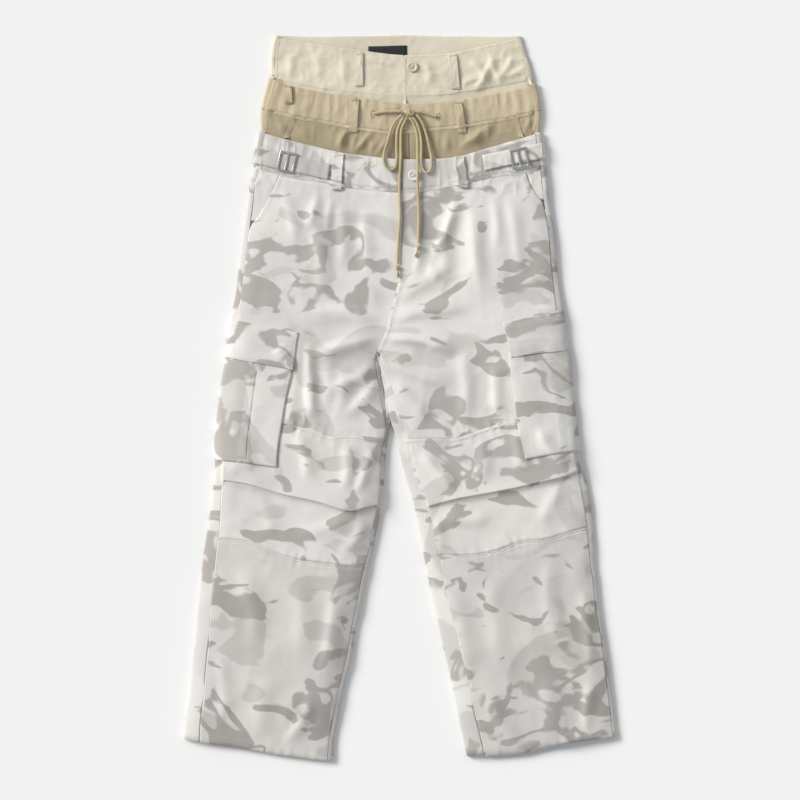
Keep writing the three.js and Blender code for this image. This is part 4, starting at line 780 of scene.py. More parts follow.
def camo_group():
    """A common pale woodland pattern: broad tints, mid patches and branching darker shapes."""
    tree, n, source, out = group("camo print", [
        ("Vector", "NodeSocketVector", None), ("Tone", "NodeSocketFloat", 1.0),
        ("Base", "NodeSocketColor", linear("#dad8d4")),
        ("Warm", "NodeSocketColor", linear("#dcd9d1")), ("Cool", "NodeSocketColor", linear("#d3cfcd")),
        ("Middle", "NodeSocketColor", linear("#c8c4c0")), ("Dark", "NodeSocketColor", linear("#aca7a2")),
    ], [("Color", "NodeSocketColor")])
    place = source.outputs["Vector"]

    def part(x, y, turn, scale_x=1.0, scale_y=1.0):
        node = n.add("ShaderNodeMapping", {
            "Vector": place, "Location": (x, y, 0.0), "Rotation": (0, 0, turn), "Scale": (scale_x, scale_y, 1.0),
        })
        return node.outputs["Vector"]

    colour = n.blend(n.ramp(n.noise(place, 3.8, 1.5), 0.47, 0.56), source.outputs["Base"], source.outputs["Warm"])
    colour = n.blend(n.ramp(n.noise(part(3.1, 1.7, 0), 5.6, 1.5), 0.50, 0.60), colour, source.outputs["Cool"])
    patch = n.noise(part(5.3, 0.7, 0.2, 0.8, 1.2), 9.5, 2.5, 0.5, 0.8)
    colour = n.blend(n.ramp(patch, 0.545, 0.590), colour, source.outputs["Middle"])
    # branches follow the lines where one noise is half, wider and narrower by another, in places
    bend = n.noise(part(1.2, 8.3, 0.4, 0.8, 1.15), 10.5, 2.2, 0.5, 0.9)
    width = n.ramp(n.noise(part(7.7, 2.2, 0), 26.0, 2.0), 0.35, 0.7, 0.020, 0.074)
    branch = n.math("SUBTRACT", width, n.math("ABSOLUTE", n.math("SUBTRACT", bend, 0.5)))
    where = n.ramp(n.noise(part(2.6, 6.1, 0), 7.0, 1.5), 0.48, 0.54, -0.10, 0.0)
    branch = n.math("ADD", branch, where)
    shape = n.noise(part(9.2, 4.1, 0.35, 0.7, 1.3), 13.5, 2.6, 0.52, 1.0)
    blob = n.math("SUBTRACT", shape, 0.625)
    dark = n.math("MAXIMUM", blob, branch)
    colour = n.blend(n.ramp(dark, -0.020, 0.014), colour, source.outputs["Dark"])
    # The Tone factor darkens the whole print; below 1 it is painted shade
    shade_tone = n.add("ShaderNodeCombineColor", {"Red": source.outputs["Tone"], "Green": source.outputs["Tone"], "Blue": source.outputs["Tone"]})
    n.put(out, "Color", n.blend(1.0, colour, shade_tone.outputs["Color"], "MULTIPLY"))
    return tree


GROUPS = {"twill": twill_group(), "crumple": crumple_group(), "camo": camo_group()}


def place_group(n, name, **inputs):
    node = n.add("ShaderNodeGroup", node_tree=GROUPS[name])
    for key, value in inputs.items():
        n.put(node, key.replace("_", " "), value)
    return node


def fabric(name, colour, offset=(0, 0, 0), turn=0.0, printed=False, rib=0.0009, crumple=16.0, shade_tone=1.0, soft=0.35):
    """Cotton twill: a plain dye, or the camo print placed by offset and turn for this piece."""
    material = bpy.data.materials.new(name)
    material.use_nodes = True
    n = Nodes(material.node_tree)
    shader = material.node_tree.nodes["Principled BSDF"]
    coords = n.add("ShaderNodeTexCoord").outputs["Object"]
    placed = n.add("ShaderNodeMapping", {"Vector": coords, "Location": offset, "Rotation": (0, 0, turn)}).outputs["Vector"]
    weave = place_group(n, "twill", Vector=placed, Rib_width=rib)
    creases = place_group(n, "crumple", Vector=placed, Scale=crumple)
    if printed:
        # the tone factor darkens this piece's print: painted shade where it is below 1
        base = place_group(n, "camo", Vector=placed, Tone=shade_tone).outputs["Color"]
    else:
        cloudy = n.ramp(n.noise(placed, 11.0, 3.0, 0.6), 0.3, 0.7)
        light, deep = [c for c in linear(colour)], linear(colour)
        light[:3] = [min(1.0, c * 1.06) for c in light[:3]]
        deep[:3] = [c * 0.93 for c in deep[:3]]
        base = n.blend(cloudy, deep, light)
    shade_of = n.blend(n.ramp(weave.outputs["Shade"], 0, 1, 0.0, 0.10), base, [0.30, 0.28, 0.25, 1.0])
    n.put(shader, "Base Color", shade_of)
    shader.inputs["Roughness"].default_value = 0.92
    shader.inputs["Specular IOR Level"].default_value = 0.25
    shader.inputs["Sheen Weight"].default_value = 0.18
    shader.inputs["Sheen Roughness"].default_value = 0.6
    soft = n.add("ShaderNodeBump", {"Height": creases.outputs["Height"], "Strength": soft, "Distance": 0.0022})
    fine = n.add("ShaderNodeBump", {
        "Height": weave.outputs["Height"], "Strength": 0.35, "Distance": 0.00016, "Normal": soft.outputs["Normal"],
    })
    n.put(shader, "Normal", fine.outputs["Normal"])
    return material


# Each camo piece is cut from another place of the printed cloth: piece, offset in metres, turn
CAMO_CUTS = {
    "camo_back_left": ((0.31, 0.12, 0), 0.10), "camo_back_right": ((1.27, 0.44, 0), -0.12),
    "camo_waistband_back": ((2.1, 1.3, 0), 0.0), "camo_front_left": ((3.4, 0.9, 0), 0.08),
    "camo_front_right": ((4.6, 1.8, 0), -0.10), "camo_knee_left": ((5.2, 2.7, 0), 0.12),
    "camo_knee_right": ((6.9, 0.5, 0), -0.14), "camo_shin_left": ((7.7, 3.3, 0), 0.13),
    "camo_shin_right": ((8.8, 2.2, 0), -0.15), "camo_waistband_left": ((0.7, 4.1, 0), 0.16),
    "camo_waistband_right": ((1.9, 5.2, 0), -0.16), "camo_hand_pocket_left": ((2.8, 6.3, 0), 0.0),
    "camo_hand_pocket_right": ((3.7, 7.1, 0), 0.0), "cargo_pocket_left": ((4.4, 8.2, 0), 0.08),
    "cargo_pocket_right": ((5.9, 7.4, 0), -0.12), "cargo_flap_left": ((6.3, 5.5, 0), 0.10),
    "cargo_flap_right": ((2.45, 3.35, 0), -0.12), "side_strap_left": ((8.1, 4.4, 0), 0.20),
    "side_strap_right": ((9.5, 5.8, 0), -0.20), "camo_loop_left": ((0.2, 9.1, 0), 0.0),
    "camo_loop_right": ((1.1, 8.6, 0), 0.0),
}
COARSE = ("camo_back_left", "camo_back_right", "tan_waistband_front")


# Factors that darken the print of some pieces: painted shade on the shins and knees below the tucks and on the backs'
# edge strips; the left strap and the right pocket are darkened as well
SHADE_TONES = {"camo_shin": 0.865, "camo_knee": 0.98, "camo_back": 0.92, "side_strap_left": 0.78, "cargo_pocket_right": 0.95}
TURNED = 24.0  # cloth turned in at the edges of a cut piece, both sides together


def all_cloth():
    # Two copies of one tan cloth: the fronts' colour is darker than the band's, painted shade below the band
    tan = fabric("tan twill with painted shade", "#ab9d80", crumple=26.0, soft=0.7)
    tan_band = fabric("tan waistband twill", "#c3b497", crumple=26.0, soft=0.7)
    cream = fabric("cream twill", "#d5cdb9", offset=(2, 3, 0), crumple=26.0, soft=0.7)
    made = {}
    for node in frame["nodes"]:
        layer = "camo"
        if node in CAMO_CUTS:
            offset, turn = CAMO_CUTS[node]
            # a factor below 1 is painted shade on this piece
            shade_tone = next((value for start, value in SHADE_TONES.items() if node.startswith(start)), 1.0)
            colour = fabric(node + "_print", None, offset, turn, printed=True, shade_tone=shade_tone)
        elif node.startswith("tan_"):
            # the tan fronts take the darker copy, painted shade
            layer, colour = "tan", tan if "front" in node and "waistband" not in node else tan_band
        elif node.startswith("cream_") and node != "cream_button":
            layer, colour = "cream", cream
        elif node == "woven_label":
            layer, colour = "cream", label_weave()
        else:
            continue
        made[node] = cloth(node, layer, 2 if node in COARSE else 3, colour)
    return made


def label_weave():
    """Dense black satin weave of the bare label."""
    material = bpy.data.materials.new("black label weave")
    material.use_nodes = True
    n = Nodes(material.node_tree)
    shader = material.node_tree.nodes["Principled BSDF"]
    coords = n.add("ShaderNodeTexCoord").outputs["Object"]
    weave = place_group(n, "twill", Vector=coords, Rib_width=0.0006)
    dark, light = linear("#0f1015"), linear("#22242c")
    n.put(shader, "Base Color", n.blend(weave.outputs["Shade"], dark, light))
    shader.inputs["Roughness"].default_value = 0.7
    bump = n.add("ShaderNodeBump", {"Height": weave.outputs["Height"], "Strength": 0.5, "Distance": 0.0002})
    n.put(shader, "Normal", bump.outputs["Normal"])
    return material


def declare_sheets(pieces):
    """Works out each cut piece's flat size, with the cloth turned in, and how much of its box it fills; the sizes are
    not used further.
    """
    for node, piece in pieces.items():
        low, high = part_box(node)
        bm = bmesh.new()
        bm.from_mesh(frame["nodes"][node].data)
        area = sum(face.calc_area() for face in bm.faces) / 2
        bm.free()
        width, length = (high[0] - low[0]) + TURNED * MM, (high[1] - low[1]) + TURNED * MM
        fill = area / (width * length)
        width *= max(1.0, fill) if fill > 0.4 else fill / 0.5  # a slanted piece fills less of its box


def thread_line(points):
    """The cord's line through its points, as three.js draws it: centripetal, open at both ends."""
    points = [Vector(p) for p in points]
    points = [points[0] * 2 - points[1]] + points + [points[-1] * 2 - points[-2]]
    line = []
    for a, b, c, d in zip(points, points[1:], points[2:], points[3:]):
        ta = 0.0
        tb = ta + max(1e-4, (b - a).length) ** 0.5
        tc = tb + max(1e-4, (c - b).length) ** 0.5
        td = tc + max(1e-4, (d - c).length) ** 0.5
        steps = max(2, int((c - b).length / CORD_STEP))
        for i in range(steps):
            t = tb + (tc - tb) * i / steps
            ab = a.lerp(b, (t - ta) / (tb - ta))
            bc = b.lerp(c, (t - tb) / (tc - tb))
            cd = c.lerp(d, (t - tc) / (td - tc))
            abc = ab.lerp(bc, (t - ta) / (tc - ta))
            bcd = bc.lerp(cd, (t - tb) / (td - tb))
            line.append(abc.lerp(bcd, (t - tb) / (tc - tb)))
    line.append(points[-2])
    return line


def over_cloth(line):
    """The line's points moved as the cloth under them is."""
    co = np.array([p[:] for p in line])
    x, y = co[:, 0], co[:, 1]
    tan_share = ease(y, 380, 392)
    lift = top_height("camo", x, y) * (1 - tan_share) + top_height("tan", x, y) * tan_share
    dx, dy = wander(x, y)
    return [Vector(p) for p in zip(x + dx, y + dy, co[:, 2] + np.maximum(lift, 0))]


def tube(name, line, radius, colour, sides=12, taper=None):
    """A round cord along a line, with its length and turn as a UV map, closed at both ends."""
    bm = bmesh.new()
    uv = bm.loops.layers.uv.new("cord")
    rings = []
    runs = [0.0]
    for a, b in zip(line, line[1:]):
        runs.append(runs[-1] + (b - a).length)
    up = Vector((0, 0, 1))
    for i, point in enumerate(line):
        ahead = (line[min(i + 1, len(line) - 1)] - line[max(i - 1, 0)]).normalized()
        side = ahead.cross(up)
        side = side.normalized() if side.length > 1e-3 else Vector((1, 0, 0))
        up = side.cross(ahead).normalized()
        r = radius * (taper(runs[i] / runs[-1]) if taper else 1.0)
        ring = []
        for k in range(sides):
            angle = 2 * math.pi * k / sides
            ring.append(bm.verts.new((point + side * r * math.cos(angle) + up * r * math.sin(angle)) * MM))
        rings.append(ring)
    for i in range(len(rings) - 1):
        for k in range(sides):
            m = (k + 1) % sides
            face = bm.faces.new((rings[i][k], rings[i][m], rings[i + 1][m], rings[i + 1][k]))
            for loop, (run, turn) in zip(face.loops, ((i, k), (i, k + 1), (i + 1, k + 1), (i + 1, k))):
                loop[uv].uv = (runs[run] * MM, turn / sides)
    bm.faces.new(list(reversed(rings[0])))
    bm.faces.new(rings[-1])
    bmesh.ops.recalc_face_normals(bm, faces=bm.faces)
    mesh = bpy.data.meshes.new(name)
    bm.to_mesh(mesh)
    bm.free()
    mesh.shade_smooth()
    mesh.materials.append(colour)
    return new_object(name, mesh)


def braid():
    """Cotton cord: crossing strands round it, from its UV map, with painted shade in the grooves between the strands.
    """
    material = bpy.data.materials.new("cotton cord")
    material.use_nodes = True
    n = Nodes(material.node_tree)
    shader = material.node_tree.nodes["Principled BSDF"]
    axes = n.add("ShaderNodeSeparateXYZ", {"Vector": n.add("ShaderNodeUVMap", uv_map="cord").outputs["UV"]})
    along = n.math("MULTIPLY", axes.outputs["X"], 2 * math.pi / (CORD * MM * 1.1))
    around = n.math("MULTIPLY", axes.outputs["Y"], 2 * math.pi * 4)
    one = n.math("SINE", n.math("ADD", along, around))
    other = n.math("SINE", n.math("SUBTRACT", along, around))
    strand = n.math("MAXIMUM", one, other)
    coords = n.add("ShaderNodeTexCoord").outputs["Object"]
    fuzz = n.noise(coords, 900.0, 2.0)
    worn = n.noise(coords, 40.0, 2.0)
    # darker where the strands dip: painted shade in the grooves; the lighter worn patches are wear
    base = n.blend(n.ramp(strand, -0.2, 0.9), linear("#9c8c66"), linear("#c2b28b"))
    n.put(shader, "Base Color", n.blend(n.ramp(worn, 0.3, 0.7, 0.0, 0.3), base, linear("#d2c5a2")))
    shader.inputs["Roughness"].default_value = 0.9
    shader.inputs["Sheen Weight"].default_value = 0.25
    height = n.math("ADD", strand, n.math("MULTIPLY", fuzz, 0.5))
    bump = n.add("ShaderNodeBump", {"Height": height, "Strength": 0.7, "Distance": 0.0004})
    n.put(shader, "Normal", bump.outputs["Normal"])
    return material


def joined(name, pieces):
    """Several meshes as one object, keeping each one's materials."""
    bm = bmesh.new()
    materials = []
    for piece in pieces:
        start = len(bm.faces)
        bm.from_mesh(piece.data)
        bm.faces.ensure_lookup_table()
        for face in bm.faces[start:]:
            own = piece.data.materials[face.material_index] if piece.data.materials else None
            if own not in materials:
                materials.append(own)
            face.material_index = materials.index(own)
    mesh = bpy.data.meshes.new(name)
    bm.to_mesh(mesh)
    bm.free()
    for own in materials:
        mesh.materials.append(own)
    for piece in pieces:
        data = piece.data
        bpy.data.objects.remove(piece)
        bpy.data.meshes.remove(data)
    return new_object(name, mesh)


def coil(name, centre, axis, radius, flat, turns, rise, colour, thick=CORD / 2):
    """Cord wound round an axis: radius across, flat times that in height, rising along the axis."""
    axis = Vector(axis).normalized()
    side = axis.cross(Vector((0, 0, 1))).normalized()
    up = side.cross(axis)
    line = []
    for i in range(int(turns * 20) + 1):
        angle = 2 * math.pi * i / 20
        along = rise * (i / (turns * 20) - 0.5)
        line.append(Vector(centre) + axis * along + side * radius * math.cos(angle) + up * radius * flat * math.sin(angle))
    return tube(name, line, thick, colour)


KNOT_AT = (12.8, 455.5, 15.4)
TIPS = {"left": (-6.4, 207.5, 12.1, 10), "right": (27.5, 240.5, 12.4, -12)}


def drawstring():
    cord = braid()
    lift = over_cloth([Vector(KNOT_AT)])[0]
    knot = joined("cord_bow_knot_wound", [
        coil("knot_wrap", lift + Vector((0, -0.4, -0.4)), (1, 0.25, 0), 3.9, 0.72, 2.1, 6.5, cord, 2.1),
        coil("knot_cross", lift + Vector((0.6, -1.5, 0.2)), (0.5, 1, 0), 5.4, 0.42, 1.1, 2.5, cord, 2.1),
        tube("knot_heart", [lift + Vector((t, 0, -0.8)) for t in (-8, -5, 0, 5, 8)], 2.9, cord),
    ])
    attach(knot, "root")
    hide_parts("cord_bow_knot")
    ends = {}
    for side, (x, y, z, turn) in TIPS.items():
        place = over_cloth([Vector((x, y, z))])[0]
        angle = math.radians(turn)
        down = Vector((math.sin(angle), -math.cos(angle), 0))
        side_way = Vector((down.y, -down.x, 0))
        pieces = [
            coil(f"tip_wrap_{side}", place, down, 2.3, 0.85, 1.6, 3.6, cord, 1.9),
            tube(f"tip_heart_{side}", [place - down * 4, place + down * 4], 2.0, cord),
            tube(f"tip_tail_{side}", [place + down * 3, place + down * 7, place + down * 11], 1.7, cord),
        ]
        for i in range(7):
            spread = side_way * (i - 3) * 0.55
            start = place + down * 9 + spread * 0.4 + Vector((0, 0, -0.6))
            end = place + down * (16.5 + 1.3 * math.sin(i * 2.1)) + spread * 1.5 + Vector((0, 0, -1.2))
            pieces.append(tube(f"strand_{side}_{i}", [start, (start + end) / 2 + spread * 0.3, end], 0.42, cord, 5))
        tip = joined(f"cord_tip_{side}_frayed", pieces)
        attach(tip, "root")
        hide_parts(f"cord_tip_{side}")
        ends[side] = tip
    for name, route in CORD_ROUTES.items():
        line = over_cloth(thread_line(route))
        piece = tube(name + "_braided", line, CORD / 2, cord)
        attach(piece, "root")
        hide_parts(name)
        tip = ends[name.rsplit("_", 1)[1]] if "_end_" in name else knot


def simple(name, colour, light, roughness, metallic=0.0, scale=120.0, bump=0.2):
    """A hard finish: colour and roughness a little uneven, with fine handling marks."""
    material = bpy.data.materials.new(name)
    material.use_nodes = True
    n = Nodes(material.node_tree)
    shader = material.node_tree.nodes["Principled BSDF"]
    coords = n.add("ShaderNodeTexCoord").outputs["Object"]
    stretched = n.add("ShaderNodeMapping", {"Vector": coords, "Scale": (1.0, 6.0, 1.0)}).outputs["Vector"]
    marks = n.noise(stretched, scale, 3.0, 0.6)
    cloud = n.noise(coords, 60.0, 2.0)
    n.put(shader, "Base Color", n.blend(n.ramp(cloud, 0.35, 0.65), linear(colour), linear(light)))
    n.put(shader, "Roughness", n.ramp(marks, 0.3, 0.7, roughness * 0.8, roughness * 1.25))
    shader.inputs["Metallic"].default_value = metallic
    fine = n.add("ShaderNodeBump", {"Height": marks, "Strength": bump, "Distance": 0.0001})
    n.put(shader, "Normal", fine.outputs["Normal"])
    return material


def button(node, x, y, radius, base, layer, body, thread):
    """A sewn four-hole button: a rolled rim, a dished middle and crossed thread."""
    dx, dy = wander(np.array([x]), np.array([y]))
    base = base + float(np.maximum(top_height(layer, np.array([x]), np.array([y]))[0], 0))
    centre = Vector((x + dx[0], y + dy[0], base))
    profile = [
        (0.0, 0.0), (0.72, 0.0), (0.86, 0.25), (0.97, 0.9), (1.0, 1.6), (0.97, 2.3), (0.9, 2.75), (0.82, 2.9),
        (0.74, 2.8), (0.66, 2.35), (0.55, 1.95), (0.35, 1.85), (0.0, 1.85),
    ]
    steps = 48
    bm = bmesh.new()
    rings = []
    for share, z in profile:
        if share == 0:
            rings.append([bm.verts.new((centre + Vector((0, 0, z))) * MM)])
            continue
        ring = []
        for k in range(steps):
            angle = 2 * math.pi * k / steps
            ring.append(bm.verts.new((centre + Vector((
                radius * share * math.cos(angle), radius * share * math.sin(angle), z))) * MM))
        rings.append(ring)
    for low, high in zip(rings, rings[1:]):
        for k in range(steps):
            m = (k + 1) % steps
            if len(low) == 1:
                bm.faces.new((low[0], high[m], high[k]))
            elif len(high) == 1:
                bm.faces.new((low[k], low[m], high[0]))
            else:
                bm.faces.new((low[k], low[m], high[m], high[k]))
    bmesh.ops.recalc_face_normals(bm, faces=bm.faces)
    mesh = bpy.data.meshes.new(node + "_sewn")
    bm.to_mesh(mesh)
    bm.free()
    mesh.materials.append(body)
    disc = new_object(node + "_disc", mesh)
    hole_at = 0.24 * radius
    drills = bmesh.new()
    for i, j in ((-1, -1), (-1, 1), (1, -1), (1, 1)):
        made = bmesh.ops.create_cone(drills, cap_ends=True, segments=12, radius1=0.11 * radius * MM,
                                     radius2=0.11 * radius * MM, depth=6 * MM)
        bmesh.ops.translate(drills, verts=made["verts"], vec=(centre + Vector((i * hole_at, j * hole_at, 1.5))) * MM)
    drill_mesh = bpy.data.meshes.new("button_holes")
    drills.to_mesh(drill_mesh)
    drills.free()
    drill = new_object("button_holes", drill_mesh)
    cut = disc.modifiers.new("holes", "BOOLEAN")
    cut.object = drill
    cut.solver = "EXACT"
    evaluated = disc.evaluated_get(bpy.context.evaluated_depsgraph_get())
    finished = bpy.data.meshes.new_from_object(evaluated)
    disc.modifiers.clear()
    disc.data = finished
    finished.shade_smooth()
    finished.set_sharp_from_angle(angle=math.radians(40))
    bpy.data.objects.remove(drill)
    pieces = [disc]
    for i in (-1, 1):
        a = centre + Vector((-hole_at, i * -hole_at, 1.7))
        b = centre + Vector((hole_at, i * hole_at, 1.7))
        top = (a + b) / 2 + Vector((0, 0, 0.75 + 0.25 * i))
        pieces.append(tube(f"button_thread_{i}", [a, a + Vector((0, 0, 0.5)), top, b + Vector((0, 0, 0.5)), b], 0.4, thread, 6))
    piece = joined(node + "_sewn", pieces)
    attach(piece, "root")
    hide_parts(node)
    return piece


def buckle(side, metal):
    """The slide buckle, its edges rounded, on the strap's raised cloth."""
    node = f"side_buckle_{side}"
    bm = bmesh.new()
    bm.from_mesh(frame["nodes"][node].data)
    bmesh.ops.remove_doubles(bm, verts=bm.verts, dist=2e-6)
    bmesh.ops.dissolve_limit(bm, angle_limit=math.radians(2), verts=bm.verts, edges=bm.edges)
    mesh = bpy.data.meshes.new(node + "_rounded")
    bm.to_mesh(mesh)
    bm.free()
    piece = new_object(node + "_rounded", mesh)
    bevel = piece.modifiers.new("rounding", "BEVEL")
    bevel.width = 0.75 * MM
    bevel.segments = 3
    bevel.limit_method = "ANGLE"
    evaluated = piece.evaluated_get(bpy.context.evaluated_depsgraph_get())
    finished = bpy.data.meshes.new_from_object(evaluated)
    piece.modifiers.clear()
    piece.data = finished
    bpy.data.meshes.remove(mesh)
    co = points_of(finished)
    centre = co.mean(0)
    lift = float(top_height("camo", np.array([centre[0]]), np.array([centre[1]]))[0])
    dx, dy = wander(co[:1, 0] * 0 + centre[0], co[:1, 1] * 0 + centre[1])
    co += np.array([dx[0], dy[0], max(0.0, lift)])
    set_points(finished, co)
    shade(finished, 35)
    finished.materials.append(metal)
    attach(piece, "root")
    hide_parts(node)


def stage():
    """A pale floor, soft studio light from the upper left, and the camera straight above."""
    size = 6.0
    mesh = bpy.data.meshes.new("floor")
    low = -0.0004
    corners = [(-size, -size, low), (size, -size, low), (size, size, low), (-size, size, low)]
    mesh.from_pydata(corners, [], [(0, 1, 2, 3)])
    floor = new_object("floor", mesh)
    paint = bpy.data.materials.new("floor paint")
    paint.use_nodes = True
    shader = paint.node_tree.nodes["Principled BSDF"]
    shader.inputs["Base Color"].default_value = (0.84, 0.84, 0.838, 1)
    shader.inputs["Roughness"].default_value = 0.95
    shader.inputs["Specular IOR Level"].default_value = 0.1
    mesh.materials.append(paint)
    world = bpy.data.worlds.new("studio")
    bpy.context.scene.world = world
    world.use_nodes = True
    world.node_tree.nodes["Background"].inputs["Color"].default_value = (0.96, 0.98, 1.0, 1)
    world.node_tree.nodes["Background"].inputs["Strength"].default_value = SKY
    light = bpy.data.lights.new("key", "SUN")
    light.energy = SUN
    light.angle = math.radians(SUN_WIDE)
    light.color = (1.0, 0.985, 0.965)
    lamp = new_object("key", light)
    turn, rise = (math.radians(value) for value in SUN_FROM)
    lamp.location = (math.cos(turn) * math.cos(rise), math.sin(turn) * math.cos(rise), math.sin(rise))
    lamp.rotation_euler = (-lamp.location).to_track_quat("-Z", "Y").to_euler()
    camera = bpy.data.cameras.new("camera")
    camera.lens = LENS
    camera.sensor_width = SENSOR
    camera.clip_end = 60
    eye = new_object("camera", camera)
    distance = VIEW_WIDTH * MM * LENS / SENSOR
    eye.location = (VIEW_CENTRE[0] * MM, VIEW_CENTRE[1] * MM, distance)
    bpy.context.scene.camera = eye
    bpy.context.scene.view_settings.view_transform = "Standard"


def smooth_line(points, step=3.0):
    """A soft line through points, with a point about every step."""
    points = [np.array(p, float) for p in points]
    points = [2 * points[0] - points[1]] + points + [2 * points[-1] - points[-2]]
    line = []
    for a, b, c, d in zip(points, points[1:], points[2:], points[3:]):
        steps = max(1, int(np.linalg.norm(c - b) / step))
        for t in np.arange(steps) / steps:
            line.append(0.5 * (2 * b + (c - a) * t + (2 * a - 5 * b + 4 * c - d) * t**2
                               + (3 * b - a - 3 * c + d) * t**3))
    line.append(points[-2])
    return np.array(line)


def straight_line(points, step=3.0):
    points = [np.array(p, float) for p in points]
    line = []
    for a, b in zip(points, points[1:]):
        steps = max(1, int(np.linalg.norm(b - a) / step))
        line.extend(a + (b - a) * t for t in np.arange(steps) / steps)
    line.append(points[-1])
    return np.array(line)


def beside(points, distance):
    """The corner points moved to the left of their line by distance, corners kept."""
    points = [np.array(p, float) for p in points]
    ways = [(b - a) / np.linalg.norm(b - a) for a, b in zip(points, points[1:])]
    moved = []
    for i, point in enumerate(points):
        before, after = ways[max(0, i - 1)], ways[min(len(ways) - 1, i)]
        n0, n1 = np.array([-before[1], before[0]]), np.array([-after[1], after[0]])
        mean = n0 + n1
        moved.append(point + mean * distance / max(0.4, float(mean @ n0)))
    return moved


def line_of(name, distance=0.0, start=0.0, end=1.0):
    """A named line, moved to its left, cut to a share of its length."""
    points = EDGE_LINES.get(name) or SEAMS[name]
    if name in SEAMS and "_in" not in name and "_out" not in name and name not in ("rise", "fork") \
            and points[0][0] > points[-1][0]:
        points = points[::-1]
    line = straight_line(beside(points, distance)) if name in CORNERED else smooth_line(beside(points, distance))
    runs = np.concatenate([[0], np.cumsum(np.linalg.norm(np.diff(line, axis=0), axis=1))])
    share = runs / runs[-1]
    inside = line[(share > start) & (share < end)]
    ends = [np.array([np.interp(at, share, line[:, k]) for k in (0, 1)]) for at in (start, end)]
    return np.vstack([ends[0], inside, ends[1]])


class TopSurface:
    """Finds the top of the dressed cloth under a point."""

    def __init__(self, pieces):
        vertices, faces = [], []
        for piece in pieces:
            start = len(vertices)
            vertices.extend(v.co.copy() for v in piece.data.vertices)
            faces.extend([start + i for i in p.vertices] for p in piece.data.polygons)
        self.tree = BVHTree.FromPolygons(vertices, faces)

    def height(self, x, y):
        hit = self.tree.ray_cast(Vector((x, y, 80)) * MM, Vector((0, 0, -1)))
        return hit[0].z / MM if hit[0] is not None else None

    def bridged(self, x, y, reach=1.6):
        """The cloth's height at a point, or beside it where the point lies over a gap."""
        spots = [(x, y), (x + reach, y), (x - reach, y), (x, y + reach), (x, y - reach)]
        heights = [h for h in (self.height(*spot) for spot in spots) if h is not None]
        return max(heights) if heights else None

    def drape(self, line, bridged=False):
        """The line's points moved as the cloth is, then laid on top of it."""
        dx, dy = wander(line[:, 0], line[:, 1])
        laid = []
        for x, y in zip(line[:, 0] + dx, line[:, 1] + dy):
            z = self.bridged(x, y) if bridged else self.height(x, y)
            if z is not None:
                laid.append(Vector((x, y, z)))
        return laid


def seam_roll(name, surface, line, low, high, raise_by, colour, shape, taper=0.01, both=True, reach=1.6):
    """The turned cloth of a seam: a low closed ridge, a little uneven where the thread pulls it."""
    laid = surface.drape(line, bridged=True)
    section = [(low + (high - low) * across, share) for across, share in shape]
    ways = [laid[min(i + 1, len(laid) - 1)] - laid[max(i - 1, 0)] for i in range(len(laid))]
    lefts = [Vector((-way.y, way.x, 0)).normalized() for way in ways]
    heights = []
    for point, left in zip(laid, lefts):
        spots = [point + left * off for off in (low, high)]
        heights.append([surface.bridged(spot.x, spot.y, reach) or point.z for spot in spots])
    heights = np.array(heights)
    soft = np.array([0.1, 0.2, 0.4, 0.2, 0.1])
    for k in (0, 1):
        column = np.concatenate([heights[:1, k], heights[:1, k], heights[:, k], heights[-1:, k], heights[-1:, k]])
        heights[:, k] = np.maximum(np.convolve(column, soft, "valid"), heights[:, k] - 0.1)
    bm = bmesh.new()
    rings = []
    run = 0.0
    whole = sum((b - a).length for a, b in zip(laid, laid[1:]))
    for i, point in enumerate(laid):
        run += (laid[i] - laid[max(i - 1, 0)]).length
        left_over = min(run, whole - run) if both else whole - run
        full = float(ease(left_over, -0.25 * taper, taper))
        left = lefts[i]
        pull = 0.75 + 0.3 * math.sin(run / 3.7 + 1.9 * math.sin(run / 13))
        ring = []
        for off, share in section:
            spot = point + left * off * full
            across = (off - low) / (high - low) if high != low else 0.0
            z = heights[i, 0] * (1 - across) + heights[i, 1] * across
            lift = share * raise_by * (pull * full if share > 0 else 1.0)
            ring.append(bm.verts.new(Vector((spot.x, spot.y, z + lift)) * MM))
        rings.append(ring)
    count = len(section)
    for one, other in zip(rings, rings[1:]):
        for k in range(count):
            m = (k + 1) % count
            bm.faces.new((one[k], one[m], other[m], other[k]))
    bm.faces.new(list(reversed(rings[0])))
    bm.faces.new(rings[-1])
    bmesh.ops.recalc_face_normals(bm, faces=bm.faces)
    mesh = bpy.data.meshes.new(name)
    bm.to_mesh(mesh)
    bm.free()
    shade(mesh, 60)
    mesh.materials.append(colour)
    return new_object(name, mesh)


